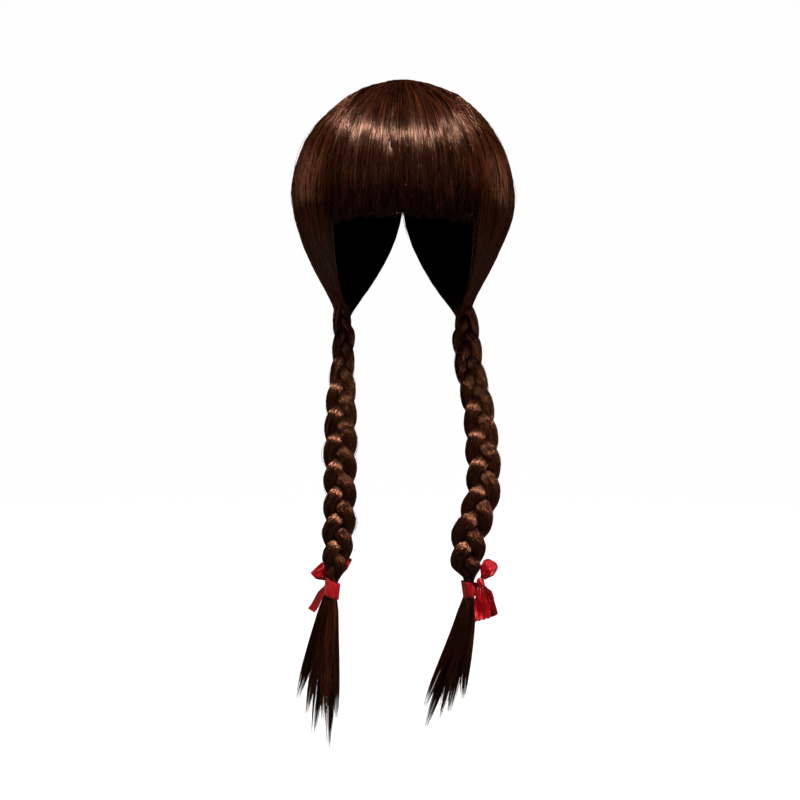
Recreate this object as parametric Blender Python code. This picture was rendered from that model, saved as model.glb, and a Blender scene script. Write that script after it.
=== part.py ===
"""A wig with a full fringe and two long braids, each tied with a red ribbon.

The wig faces -Y and +X is the viewer's right. The origin is the inside of the crown,
where the top of the head touches. Hair starts at the whorl on top of the dome and runs
down over the head room: the fringe in front, and one half on each side, which is parted
at the centre back and swept into the root of its braid. Lengths are in metres.
"""

import math

import bmesh
import bpy
from mathutils import Vector

# Head room, the hollow that the head fills
ROOM_HALF_WIDTH = 0.0825
ROOM_FRONT = 0.102
ROOM_BACK = 0.096
WIDEST_DEPTH = 0.084

# Thickness of the hair over the head room, and its locks
HAIR_SIDE = 0.011
HAIR_FRONT = 0.008
HAIR_BACK = 0.010
HAIR_TOP = 0.0115
CROWN_TAPER = 1.15
GROOVE_DEPTH = 0.0018
RELIEF_RISE = 2.2
CREST_START = 0.30
CREST_END = 0.70
WHORL_RADIUS = 0.0014
SEAM_GAP = 0.0005

# Fringe, which spans this many degrees each side of the middle
FRINGE_TURN = 43.5
FRINGE_FALL = 0.0235
FRINGE_UNEVEN = 0.005
FRINGE_LEAN = 0.0035
FRINGE_HEM_WALL = 0.0035

# Root of each braid, beside the neck, and the sweep of the hair into it
ROOT_OUT = 0.053
ROOT_BACK = 0.014
ROOT_DEPTH = 0.184
ROOT_HALF_WIDTH = 0.0125
ROOT_HALF_DEPTH = 0.0115
ROOT_LEAN = 0.9
LEAN_LENGTH = 0.030
SWEEP_FALL = 0.035
SWEEP_REACH = 0.035
INNER_ARC_START = 138.0
INNER_ARC_END = 202.0

# Braids
BRAID_HEIGHT = 0.2225
BRAID_FORWARD = 0.092
BRAID_SWAY = 0.012
BRAID_SWING = 0.0066
BRAID_WEAVE = 0.0036
STRAND_HALF_WIDTH = 0.0074
STRAND_HALF_DEPTH = 0.0060
STRAND_GAP = 0.0004
CLEARANCE = 0.0003

# Tails below the ribbons
TAIL_HEAD_HALF_WIDTH = 0.0050
TAIL_HEAD_HALF_DEPTH = 0.0046
TAIL_HEIGHT = 0.122
TAIL_SPREAD = 0.030
TAIL_LOCK_HALF_WIDTH = 0.0060
TAIL_TIP = 0.0005

# Ribbons
BAND_HEIGHT = 0.0146
BAND_WALL = 0.0010
RIBBON_WIDTH = 0.0132
RIBBON_WALL = 0.0010
RIBBON_GATHER = 0.0050
RIBBON_LENGTH = 0.0270
RIBBON_CROWN = 0.0006
RIBBON_OPENING = 1.6
END_WAVE = 0.0012
LOOP_OPEN = 0.0070
KNOT_HALF_HEIGHT = 0.0046
KNOT_HALF_WIDTH = 0.0038
KNOT_HALF_DEPTH = 0.0032
KNOT_LEVEL = 0.20

# Facets
DOME_ROWS = 11
SWEEP_ROWS = 8
FRINGE_FALL_ROWS = 3
STRAND_SIDES = 8
STRAND_STATIONS = 51
COURSE_SAMPLES = 240
TAIL_TIP_ROWS = 5
BAND_SIDES = 14
LOOP_STATIONS = 13
END_STATIONS = 6

# Locks of the fringe from the left to the right: share of its width, height of the crest
# as a share of GROOVE_DEPTH, and how far the hem hangs as a share of FRINGE_UNEVEN
FRINGE_LOCKS = (
    (0.150, 0.30, 1.00),
    (0.180, 0.10, 0.25),
    (0.160, 0.40, 0.30),
    (0.190, 0.15, 0.10),
    (0.150, 0.35, 0.45),
    (0.170, 0.20, 1.00),
)

# Locks of a half from the fringe to the centre back: share of its turn, height of the crest
HALF_LOCKS = {
    "left": (
        (0.12, 0.35),
        (0.15, 0.15),
        (0.13, 0.45),
        (0.17, 0.20),
        (0.14, 0.40),
        (0.15, 0.15),
        (0.14, 0.35),
    ),
    "right": (
        (0.14, 0.40),
        (0.13, 0.20),
        (0.16, 0.35),
        (0.13, 0.15),
        (0.16, 0.45),
        (0.13, 0.20),
        (0.15, 0.30),
    ),
}

# How a half falls from the widest ring into the root, from the fringe to the centre back:
# share of the turn, angle on the root in degrees from its outer side over its front, fall
# as a share of SWEEP_FALL, then the pull of the last stretch outwards, to the front and
# upwards as shares of SWEEP_REACH
FALLS = (
    (0.00, 130.0, 1.00, 0.45, 0.15, 0.88),
    (0.25, 60.0, 1.00, 0.52, 0.12, 0.85),
    (0.42, 5.0, 1.00, 0.52, 0.00, 0.87),
    (0.70, -75.0, 1.15, 0.25, -0.50, 0.80),
    (1.00, -150.0, 1.30, -0.40, -0.60, 0.70),
)

# Course of each braid: share of BRAID_HEIGHT, of BRAID_FORWARD, of BRAID_SWAY outwards, and
# the girth as a share of the full section
BRAID_COURSES = {
    "left": (
        (0.00, 0.00, 0.00, 0.72),
        (0.10, 0.12, -0.18, 0.70),
        (0.24, 0.38, -0.12, 0.74),
        (0.34, 0.57, -0.10, 0.92),
        (0.52, 0.82, -0.06, 1.00),
        (0.70, 0.95, -0.08, 0.98),
        (0.88, 1.00, 0.10, 0.92),
        (1.00, 1.01, 0.38, 0.56),
    ),
    "right": (
        (0.00, 0.00, 0.00, 0.80),
        (0.10, 0.12, 0.13, 0.90),
        (0.22, 0.34, 0.28, 0.88),
        (0.36, 0.60, 0.80, 0.95),
        (0.54, 0.84, 1.08, 1.03),
        (0.69, 0.95, 1.02, 1.04),
        (0.84, 1.00, 0.12, 1.08),
        (0.94, 1.01, -0.02, 0.98),
        (1.00, 1.01, 0.10, 0.56),
    ),
}
# Weaves over the whole height of each braid, and where the first one starts in degrees
BRAID_WEAVES = {"left": 3.439, "right": 3.248}
BRAID_PHASES = {"left": -38.5, "right": 15.4}

# Levels of a tail's sections: inside the band as shares of BAND_HEIGHT, then down to where the
# locks part as shares of TAIL_HEIGHT
TAIL_HEAD_SHARES = (0.0, 0.5, 1.03)
TAIL_LEVELS = (0.03, 0.12, 0.23, 0.34, 0.44, 0.52)
TAIL_EASE = 0.55
TAIL_FLATNESS = 0.8
TAIL_VALLEY = 0.7
TAIL_SWELL_START = 0.72
TAIL_TAPER = 0.8

# Locks of each tail: start outwards as a share of the bundle's half width, tip outwards and
# to the front as shares of TAIL_SPREAD, length as a share of TAIL_HEIGHT, and girth as a share
# of TAIL_LOCK_HALF_WIDTH
TAIL_LOCKS = {
    "left": (
        (0.50, 0.93, -0.10, 0.68, 0.95),
        (0.25, 0.64, 0.25, 0.76, 0.95),
        (0.10, 0.50, -0.20, 0.92, 1.00),
        (-0.10, 0.22, 0.20, 0.81, 1.00),
        (-0.20, 0.07, -0.05, 1.00, 0.95),
        (-0.40, -0.15, 0.10, 0.80, 0.85),
    ),
    "right": (
        (-0.55, -1.26, 0.10, 0.73, 0.85),
        (-0.40, -1.20, -0.15, 0.87, 0.90),
        (-0.30, -0.84, 0.20, 0.79, 1.00),
        (-0.10, -0.58, -0.10, 0.77, 1.00),
        (0.05, -0.22, 0.05, 0.68, 0.90),
    ),
}

# Levels of a knot's sections as shares of its half height
KNOT_LEVELS = (-0.95, -0.6, 0.0, 0.6, 0.95)

# Side of the band on which each knot sits, outwards and to the front
KNOT_SIDES = {"left": (0.25, -1.0), "right": (0.93, 0.36)}

# Ribbon pieces of each bow: which way it runs as outwards, front and up, which way its face
# looks in the same terms, its length as a share of RIBBON_LENGTH, and how far it leaves the
# knot to the side of its face, as a share of its run
BOW_PIECES = {
    "left": (
        ("loop_outer", (0.80, -0.25, 0.60), (0.10, 1.00, 0.30), 0.474, 0.0),
        ("loop_inner", (-0.38, -0.25, 0.92), (0.05, 1.00, 0.25), 0.759, 0.0),
        ("end_outer", (0.43, -0.08, -0.92), (0.75, 0.40, 0.50), 0.907, 0.25),
        ("end_inner", (0.02, -0.20, -0.98), (0.45, 0.90, -0.20), 0.741, -0.7),
    ),
    "right": (
        ("loop_upper", (0.60, -0.25, 0.80), (0.05, 1.00, 0.30), 0.611, 0.0),
        ("loop_lower", (0.17, -0.06, -0.96), (0.05, 1.00, 0.00), 0.926, -0.1),
        ("end_lower", (-0.06, 0.28, -1.00), (0.05, 1.00, 0.28), 1.000, 0.62),
        ("end_back", (0.18, -0.50, -0.85), (0.10, 0.80, -0.50), 0.778, -1.2),
    ),
}

HAIR_COLOUR = (0.060, 0.020, 0.009, 1.0)
LOCK_COLOUR = (0.095, 0.033, 0.014, 1.0)
RIBBON_COLOUR = (0.560, 0.010, 0.018, 1.0)

SIDES = {"left": -1.0, "right": 1.0}


def clear_scene():
    for thing in list(bpy.data.objects):
        bpy.data.objects.remove(thing)


def finish(name, colour, roughness):
    """A Principled material with one colour and one roughness."""
    material = bpy.data.materials.new(name)
    material.use_nodes = True
    shader = material.node_tree.nodes["Principled BSDF"]
    shader.inputs["Base Color"].default_value = colour
    shader.inputs["Roughness"].default_value = roughness
    shader.inputs["Metallic"].default_value = 0.0
    return material


def smooth_row(table, share):
    """The columns of a table at a share of its first column, on a smooth curve."""
    index = 0
    while index < len(table) - 2 and share > table[index + 1][0]:
        index += 1
    before = table[max(index - 1, 0)]
    start, end = table[index], table[index + 1]
    after = table[min(index + 2, len(table) - 1)]
    span = end[0] - start[0]
    part = (share - start[0]) / span
    values = []
    for column in range(1, len(start)):
        slope_in = (end[column] - before[column]) / (end[0] - before[0]) * span
        slope_out = (after[column] - start[column]) / (after[0] - start[0]) * span
        values.append(
            start[column] * (2 * part**3 - 3 * part**2 + 1)
            + slope_in * (part**3 - 2 * part**2 + part)
            + end[column] * (3 * part**2 - 2 * part**3)
            + slope_out * (part**3 - part**2)
        )
    return values


def bezier(points, share):
    """A point on the cubic curve with four control points."""
    rest = 1.0 - share
    return (
        points[0] * rest**3
        + points[1] * 3 * rest**2 * share
        + points[2] * 3 * rest * share**2
        + points[3] * share**3
    )


def smoothstep(share):
    share = min(max(share, 0.0), 1.0)
    return share * share * (3.0 - 2.0 * share)


def new_object(name, mesh, material):
    """Link a mesh as a named object with its material, shaded smooth over its soft edges."""
    mesh.materials.append(material)
    mesh.shade_smooth()
    mesh.set_sharp_from_angle(angle=math.radians(50))
    thing = bpy.data.objects.new(name, mesh)
    bpy.context.scene.collection.objects.link(thing)
    return thing


def grid_faces(grid):
    rows, columns = len(grid), len(grid[0])
    for row in range(rows - 1):
        for column in range(columns - 1):
            yield (
                grid[row][column],
                grid[row][column + 1],
                grid[row + 1][column + 1],
                grid[row + 1][column],
            )


def slab(name, outer, inner, material):
    """Close two equal grids of points, the outer and the inner side of a wall, into one body."""
    shape = bmesh.new()
    outer = [[shape.verts.new(point) for point in row] for row in outer]
    inner = [[shape.verts.new(point) for point in row] for row in inner]
    for corners in grid_faces(outer):
        shape.faces.new(corners)
    for corners in grid_faces(inner):
        shape.faces.new(reversed(corners))
    borders = [
        (outer[0], inner[0]),
        (inner[-1], outer[-1]),
        ([row[0] for row in inner], [row[0] for row in outer]),
        ([row[-1] for row in outer], [row[-1] for row in inner]),
    ]
    for border in borders:
        for corners in grid_faces(border):
            shape.faces.new(reversed(corners))
    bmesh.ops.recalc_face_normals(shape, faces=shape.faces)
    mesh = bpy.data.meshes.new(name)
    shape.to_mesh(mesh)
    shape.free()
    return new_object(name, mesh, material)


def tube(name, rings, material):
    """Loft rings of points into a closed body with flat ends."""
    shape = bmesh.new()
    rings = [[shape.verts.new(point) for point in ring] for ring in rings]
    closed = [ring + ring[:1] for ring in rings]
    for corners in grid_faces(closed):
        shape.faces.new(corners)
    shape.faces.new(rings[0])
    shape.faces.new(reversed(rings[-1]))
    bmesh.ops.recalc_face_normals(shape, faces=shape.faces)
    mesh = bpy.data.meshes.new(name)
    shape.to_mesh(mesh)
    shape.free()
    return new_object(name, mesh, material)


def dome_point(turn, slope, depth, lift=0.0):
    """A point over the head: turn from the front, slope from the crown, depth 0 in to 1 out."""
    half = ROOM_HALF_WIDTH + depth * HAIR_SIDE + lift
    front = ROOM_FRONT + depth * HAIR_FRONT + lift
    back = ROOM_BACK + depth * HAIR_BACK + lift
    rise = WIDEST_DEPTH + depth * HAIR_TOP + lift
    reach = front if math.cos(turn) > 0.0 else back
    level = math.sin(slope) ** CROWN_TAPER
    return Vector(
        (
            half * level * math.sin(turn),
            -reach * level * math.cos(turn),
            rise * math.cos(slope) - WIDEST_DEPTH,
        )
    )


def turn_between(first, last, share, slope):
    """The turn at a share of a piece's span, which gives up half the seam gap at each end."""
    radius = ROOM_HALF_WIDTH * math.sin(slope) ** CROWN_TAPER
    trim = SEAM_GAP / 2 / radius
    return (first + trim) * (1.0 - share) + (last - trim) * share


def lock_columns(locks):
    """Columns across a row of locks: share of the width, and the lift of the outer side."""
    columns = []
    start = 0.0
    total = sum(lock[0] for lock in locks)
    for lock in locks:
        width = lock[0] / total
        crest = lock[1] * GROOVE_DEPTH
        columns.append((start, -GROOVE_DEPTH))
        columns.append((start + width * CREST_START, crest))
        columns.append((start + width * CREST_END, crest))
        start += width
    columns.append((1.0, -GROOVE_DEPTH))
    return columns


def dome_slopes():
    start = math.asin((WHORL_RADIUS / ROOM_HALF_WIDTH) ** (1.0 / CROWN_TAPER))
    step = (math.pi / 2 - start) / (DOME_ROWS - 1)
    return [start + step * row for row in range(DOME_ROWS)]


def relief(slope, lift):
    """Locks fade out towards the whorl, where the hair starts."""
    return lift * smoothstep(math.sin(slope) * RELIEF_RISE)


def make_fringe(material):
    """The fringe, from the whorl over the forehead to an uneven hem."""
    columns = lock_columns(FRINGE_LOCKS)
    span = math.radians(FRINGE_TURN)
    hem_table = [(0.0, FRINGE_LOCKS[0][2])]
    start = 0.0
    for width, _, hem in FRINGE_LOCKS:
        hem_table.append((start + width / 2, hem))
        start += width
    hem_table.append((start, FRINGE_LOCKS[-1][2]))
    outer, inner = [], []
    for slope in dome_slopes():
        outer.append([])
        inner.append([])
        for share, lift in columns:
            turn = turn_between(-span, span, share, slope)
            outer[-1].append(dome_point(turn, slope, 1.0, relief(slope, lift)))
            inner[-1].append(dome_point(turn, slope, 0.0))
    ring_outer, ring_inner = outer[-1], inner[-1]
    for row in range(1, FRINGE_FALL_ROWS + 1):
        part = row / FRINGE_FALL_ROWS
        outer.append([])
        inner.append([])
        for index, (share, _) in enumerate(columns):
            uneven = smooth_row(hem_table, share)[0] * FRINGE_UNEVEN
            level = Vector((0.0, 0.0, -(FRINGE_FALL + uneven) * part))
            towards = Vector((ring_outer[index].x, ring_outer[index].y, 0.0)).normalized()
            wall = (ring_outer[index] - ring_inner[index]).length
            thin = (wall - FRINGE_HEM_WALL) * part * part
            lean = -towards * FRINGE_LEAN * part
            outer[-1].append(ring_outer[index] + level + lean)
            inner[-1].append(ring_inner[index] + level + lean + towards * thin)
    return slab("fringe", outer, inner, material)


def course_point(side, share):
    """The middle of a braid, and its girth, at a share of its drop."""
    forward, sway, girth = smooth_row(BRAID_COURSES[side], share)
    middle = Vector(
        (
            SIDES[side] * (ROOT_OUT + sway * BRAID_SWAY),
            ROOT_BACK - forward * BRAID_FORWARD,
            -ROOT_DEPTH - share * BRAID_HEIGHT,
        )
    )
    return middle, girth


def course_frame(side, share, length):
    """Middle, across, front and along directions of a braid's section, and its girth.

    The first sections lean with the lower edge of the hair that covers the root.
    """
    middle, girth = course_point(side, share)
    ahead = course_point(side, min(share + 1.0 / COURSE_SAMPLES, 1.0))[0]
    behind = course_point(side, max(share - 1.0 / COURSE_SAMPLES, 0.0))[0]
    along = (ahead - behind).normalized()
    lean = ROOT_LEAN * (1.0 - smoothstep(length / LEAN_LENGTH))
    along = (along + Vector((SIDES[side] * lean, 0.0, 0.0))).normalized()
    across = Vector((1.0, 0.0, 0.0))
    across = (across - along * across.dot(along)).normalized()
    front = along.cross(across)
    return middle, across, front, along, girth


def root_point(side, angle):
    """A point on the rim of a braid's root; angles run from the outer side over the front."""
    middle, across, front, _, _ = course_frame(side, 0.0, 0.0)
    turn = math.radians(angle)
    out = across * SIDES[side]
    return (
        middle
        + out * math.cos(turn) * ROOT_HALF_WIDTH
        + front * math.sin(turn) * ROOT_HALF_DEPTH
    )


def sweep(side, ring_point, share, end_point):
    """Control points of the hair's way from the widest ring to the root."""
    _, fall, out, front, up = smooth_row(FALLS, share)
    pull = Vector((SIDES[side] * out, -front, up)) * SWEEP_REACH
    down = Vector((0.0, 0.0, -fall * SWEEP_FALL))
    return [ring_point, ring_point + down, end_point + pull, end_point]


def make_half(side, material):
    """One half of the hair, from the whorl to the root of its braid."""
    columns = lock_columns(HALF_LOCKS[side])
    first = math.radians(FRINGE_TURN)
    mirror = Vector((SIDES[side], 1.0, 1.0))
    outer, inner = [], []
    for slope in dome_slopes():
        outer.append([])
        inner.append([])
        for share, lift in columns:
            turn = turn_between(first, math.pi, share, slope)
            outer[-1].append(dome_point(turn, slope, 1.0, relief(slope, lift)) * mirror)
            inner[-1].append(dome_point(turn, slope, 0.0) * mirror)
    ways_outer, ways_inner = [], []
    for index, (share, _) in enumerate(columns):
        angle = smooth_row(FALLS, share)[0]
        inner_angle = INNER_ARC_START + (INNER_ARC_END - INNER_ARC_START) * share
        ways_outer.append(sweep(side, outer[-1][index], share, root_point(side, angle)))
        ways_inner.append(sweep(side, inner[-1][index], share, root_point(side, inner_angle)))
    for row in range(1, SWEEP_ROWS + 1):
        part = row / SWEEP_ROWS
        outer.append([bezier(way, part) for way in ways_outer])
        inner.append([bezier(way, part) for way in ways_inner])
    return slab("hair_" + side, outer, inner, material)


def course_stations(side):
    """Shares of the drop and lengths along a braid at its sections, clear of both ends."""
    samples = COURSE_SAMPLES
    lengths = [0.0]
    last = course_point(side, 0.0)[0]
    for index in range(1, samples + 1):
        here = course_point(side, index / samples)[0]
        lengths.append(lengths[-1] + (here - last).length)
        last = here
    start, end = 2 * CLEARANCE, lengths[-1] - CLEARANCE
    stations = []
    index = 0
    for station in range(STRAND_STATIONS):
        length = start + (end - start) * station / (STRAND_STATIONS - 1)
        while lengths[index + 1] < length:
            index += 1
        part = (length - lengths[index]) / (lengths[index + 1] - lengths[index])
        stations.append(((index + part) / samples, length))
    return stations


def weave(phase, strand):
    """Where a strand crosses a braid's section, as shares across and to the front."""
    turn = phase + strand * math.tau / 3
    return Vector((BRAID_SWING * math.sin(turn), BRAID_WEAVE * math.sin(2 * turn)))


def strand_ring(phase, near_phases, strand, girth):
    """Section of a strand: an ellipse cut back where it meets the other two.

    The cuts are those of half a station before and after, so that the faces between two
    stations stay on their own side of the line between two strands.
    """
    middle = weave(phase, strand) * girth
    cuts = []
    for near in near_phases:
        own = weave(near, strand) * girth
        for other in range(3):
            if other != strand:
                apart = weave(near, other) * girth - own
                cuts.append((own + apart / 2, apart.normalized()))
    ring = []
    for index in range(STRAND_SIDES):
        angle = math.tau * (index + 0.5) / STRAND_SIDES
        way = Vector((math.cos(angle), math.sin(angle)))
        flat = Vector((way.x / STRAND_HALF_WIDTH, way.y / STRAND_HALF_DEPTH))
        reach = girth / flat.length
        for foot, apart in cuts:
            towards = way.dot(apart)
            if towards > 0.01:
                room = (foot - middle).dot(apart) - STRAND_GAP / 2
                reach = min(reach, room / towards)
        ring.append(middle + way * reach)
    return ring


def make_strand(side, strand, material):
    """One of a braid's three strands, from the root to the top of the ribbon band."""
    rings = []
    stations = course_stations(side)
    start = math.radians(BRAID_PHASES[side])
    turn_rate = math.tau * BRAID_WEAVES[side]
    phases = [start + share * turn_rate for share, _ in stations]
    for index, (share, length) in enumerate(stations):
        middle, across, front, _, girth = course_frame(side, share, length)
        before = (phases[max(index - 1, 0)] + phases[index]) / 2
        after = (phases[min(index + 1, len(phases) - 1)] + phases[index]) / 2
        ring = strand_ring(phases[index], (before, after), strand, girth)
        rings.append([middle + across * point.x + front * point.y for point in ring])
    return tube("braid_" + side + "_strand_" + str(strand + 1), rings, material)


def tie_frame(side):
    """Middle, across, front and along directions at the top of the ribbon band."""
    middle, across, front, along, _ = course_frame(side, 1.0, BRAID_HEIGHT)
    return middle, across, front, along


def ellipse(middle, across, front, half_width, half_depth, sides):
    ring = []
    for index in range(sides):
        angle = math.tau * index / sides
        ring.append(
            middle
            + across * math.cos(angle) * half_width
            + front * math.sin(angle) * half_depth
        )
    return ring


def tail_lock_point(side, lock, level):
    """Middle of a tail's lock at a level, a share of TAIL_HEIGHT, and its half width."""
    start_share, tip_out, tip_front, length, girth = lock
    middle, across, front, along = tie_frame(side)
    start = middle + along * BAND_HEIGHT
    start += across * SIDES[side] * start_share * TAIL_HEAD_HALF_WIDTH
    start += front * tip_front * TAIL_HEAD_HALF_DEPTH
    tip = middle + along * BAND_HEIGHT
    tip += Vector((SIDES[side] * tip_out * TAIL_SPREAD, -tip_front * TAIL_SPREAD, 0.0))
    tip.z = middle.z - BAND_HEIGHT - length * TAIL_HEIGHT
    straight = start + along * length * TAIL_HEIGHT
    way = [
        start,
        start.lerp(straight.lerp(tip, TAIL_EASE), 1.0 / 3.0),
        start.lerp(tip, 2.0 / 3.0),
        tip,
    ]
    share = level / length
    swell = (TAIL_SWELL_START + share) * (1.0 - share) ** TAIL_TAPER
    return bezier(way, share), TAIL_LOCK_HALF_WIDTH * girth * swell


def tail_section(side, level):
    """Section through all locks of a tail: a closed ring, three columns to a lock.

    The front runs over the locks from one side to the other and the back runs home.
    """
    locks = TAIL_LOCKS[side]
    _, across, front, _ = tie_frame(side)
    side_way = across * SIDES[side]
    if locks[0][1] < locks[-1][1]:
        side_way = -side_way
    places = [tail_lock_point(side, lock, level) for lock in locks]
    first, last = places[0], places[-1]
    front_row, back_row = [], []
    for index, (here, half) in enumerate(places):
        if index:
            before, half_before = places[index - 1]
            valley = (before + here) / 2
            deep = front * (half_before + half) / 2 * TAIL_FLATNESS * TAIL_VALLEY
            front_row.append(valley + deep)
            back_row.append(valley - deep)
        front_row.append(here + front * half * TAIL_FLATNESS)
        back_row.append(here - front * half * TAIL_FLATNESS)
    start = first[0] + side_way * first[1]
    end = last[0] - side_way * last[1]
    return [start] + front_row + [end] + back_row[::-1]


def head_section(side, share):
    """Section of the bundle inside the ribbon band, with the columns of a tail's section."""
    middle, across, front, along = tie_frame(side)
    locks = TAIL_LOCKS[side]
    side_way = across * SIDES[side]
    if locks[0][1] < locks[-1][1]:
        side_way = -side_way
    here = middle + along * BAND_HEIGHT * share
    sides = 4 * len(locks)
    return ellipse(here, side_way, front, TAIL_HEAD_HALF_WIDTH, TAIL_HEAD_HALF_DEPTH, sides)


def make_tail(side, material):
    """The loose hair below a ribbon: one body that parts into tapered locks."""
    count = len(TAIL_LOCKS[side])
    sections = [head_section(side, share) for share in TAIL_HEAD_SHARES]
    sections += [tail_section(side, level) for level in TAIL_LEVELS]
    shape = bmesh.new()
    rings = [[shape.verts.new(point) for point in ring] for ring in sections]
    for corners in grid_faces([ring + ring[:1] for ring in rings]):
        shape.faces.new(corners)
    shape.faces.new(rings[0])
    parting = rings[-1]
    for index, lock in enumerate(TAIL_LOCKS[side]):
        top = parting[2 * index : 2 * index + 3]
        for column in range(2 * index + 2, 2 * index - 1, -1):
            corner = parting[-column % len(parting)]
            if corner not in top:
                top.append(corner)
        middle, half = tail_lock_point(side, lock, TAIL_LEVELS[-1])
        offsets = [corner.co - middle for corner in top]
        loops = [top]
        for row in range(1, TAIL_TIP_ROWS + 1):
            share = row / TAIL_TIP_ROWS
            level = TAIL_LEVELS[-1] * (1.0 - share) + lock[3] * share
            here = tail_lock_point(side, lock, level)[0]
            taper = max((1.0 - share) ** TAIL_TAPER, TAIL_TIP / half)
            loops.append([shape.verts.new(here + offset * taper) for offset in offsets])
        for corners in grid_faces([loop + loop[:1] for loop in loops]):
            shape.faces.new(corners)
        shape.faces.new(loops[-1])
    bmesh.ops.recalc_face_normals(shape, faces=shape.faces)
    mesh = bpy.data.meshes.new("tail_" + side)
    shape.to_mesh(mesh)
    shape.free()
    return new_object("tail_" + side, mesh, material)


def make_band(side, material):
    """The turn of ribbon round the end of a braid: a sleeve with a small wall."""
    middle, across, front, along = tie_frame(side)
    rings = []
    for share, grow in ((0.0, 0.0), (0.0, 1.0), (1.0, 1.0), (1.0, 0.0)):
        here = middle + along * BAND_HEIGHT * share
        extra = CLEARANCE + BAND_WALL * grow
        width = TAIL_HEAD_HALF_WIDTH + extra
        depth = TAIL_HEAD_HALF_DEPTH + extra
        rings.append(ellipse(here, across, front, width, depth, BAND_SIDES))
    shape = bmesh.new()
    rings = [[shape.verts.new(point) for point in ring] for ring in rings]
    closed = [ring + ring[:1] for ring in rings]
    for corners in grid_faces(closed + closed[:1]):
        shape.faces.new(corners)
    bmesh.ops.recalc_face_normals(shape, faces=shape.faces)
    name = "ribbon_" + side + "_band"
    mesh = bpy.data.meshes.new(name)
    shape.to_mesh(mesh)
    shape.free()
    return new_object(name, mesh, material)


def knot_frame(side):
    """Middle of a knot beside its band, with the outward, front and up directions."""
    middle, across, front, along = tie_frame(side)
    out = across * SIDES[side]
    way_out, way_front = KNOT_SIDES[side]
    way = (out * way_out + front * way_front).normalized()
    width = TAIL_HEAD_HALF_WIDTH + CLEARANCE + BAND_WALL
    depth = TAIL_HEAD_HALF_DEPTH + CLEARANCE + BAND_WALL
    reach = 1.0 / math.hypot(way.dot(out) / width, way.dot(front) / depth)
    here = middle + along * BAND_HEIGHT * KNOT_LEVEL
    here += way * (reach + CLEARANCE + KNOT_HALF_DEPTH)
    return here, way, out, front, -along


def make_knot(side, material):
    """The knot of a bow, a small cushion of wound ribbon."""
    here, way, _, _, up = knot_frame(side)
    sideways = way.cross(up).normalized()
    rings = []
    for share in KNOT_LEVELS:
        swell = math.sqrt(1.0 - share * share)
        level = here + up * KNOT_HALF_HEIGHT * share
        width = KNOT_HALF_WIDTH * swell
        depth = KNOT_HALF_DEPTH * swell
        rings.append(ellipse(level, sideways, way, width, depth, 10))
    return tube("ribbon_" + side + "_knot", rings, material)


def make_ribbon(side, piece, material):
    """A loop or an end of a bow, gathered at the knot and full width further out."""
    label, way, face, length_share, layer = piece
    length = length_share * RIBBON_LENGTH
    here, outward, out, front, up = knot_frame(side)
    way = (out * way[0] + front * way[1] + up * way[2]).normalized()
    face = out * face[0] + front * face[1] + up * face[2]
    face = (face - way * face.dot(way)).normalized()
    across = way.cross(face)
    leave = (way + face * layer).normalized()
    sideways = outward.cross(up).normalized()
    reach = Vector(
        (
            leave.dot(outward) * KNOT_HALF_DEPTH,
            leave.dot(sideways) * KNOT_HALF_WIDTH,
            leave.dot(up) * KNOT_HALF_HEIGHT,
        )
    )
    stand_off = CLEARANCE + RIBBON_WALL / 2 * abs(face.dot(leave))
    start = here + leave * (reach.length + stand_off)
    is_loop = label.startswith("loop")
    stations = LOOP_STATIONS if is_loop else END_STATIONS
    shape = bmesh.new()
    grid = []
    for station in range(stations):
        share = station / (stations - 1)
        if is_loop:
            turn = math.tau * share
            along_way = (1.0 - math.cos(turn)) / 2
            lift = LOOP_OPEN / 2 * math.sin(turn)
            lift += (RIBBON_WALL / 2 + CLEARANCE) * math.cos(turn / 2)
        else:
            along_way = share
            lift = END_WAVE * math.sin(math.tau * share)
        half = RIBBON_GATHER / 2
        half += (RIBBON_WIDTH - RIBBON_GATHER) / 2 * smoothstep(along_way * RIBBON_OPENING)
        row = []
        for column in (-1.0, 0.0, 1.0):
            crown = RIBBON_CROWN * (1.0 - column * column)
            point = start + way * length * along_way + face * (lift + crown)
            row.append(shape.verts.new(point + across * half * column))
        grid.append(row)
    for corners in grid_faces(grid):
        shape.faces.new(corners)
    name = "ribbon_" + side + "_" + label
    mesh = bpy.data.meshes.new(name)
    shape.to_mesh(mesh)
    shape.free()
    ribbon = new_object(name, mesh, material)
    wall = ribbon.modifiers.new("wall", "SOLIDIFY")
    wall.thickness = RIBBON_WALL
    wall.offset = 0.0
    return ribbon


def build():
    clear_scene()
    make_fringe(finish("fringe_hair", HAIR_COLOUR, 0.42))
    for side in SIDES:
        make_half(side, finish("half_hair_" + side, LOCK_COLOUR, 0.42))
        for strand in range(3):
            label = side + "_" + str(strand + 1)
            make_strand(side, strand, finish("strand_hair_" + label, HAIR_COLOUR, 0.38))
        make_tail(side, finish("tail_hair_" + side, HAIR_COLOUR, 0.45))
        make_band(side, finish("band_satin_" + side, RIBBON_COLOUR, 0.35))
        make_knot(side, finish("knot_satin_" + side, RIBBON_COLOUR, 0.35))
        for piece in BOW_PIECES[side]:
            satin = finish(piece[0] + "_satin_" + side, RIBBON_COLOUR, 0.35)
            make_ribbon(side, piece, satin)


build()
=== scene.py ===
# %% [markdown]
# # A pigtail wig with red satin bows
# The wig has a full straight fringe, a smooth crown with one whorl, two halves of hair that are
# parted at the back, and two braids that end in loose tails under ribbon bows. The solid model
# comes in first. It is the frame that every finer piece is fitted to.

# %% Load the frame
import math
from functools import partial

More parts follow.
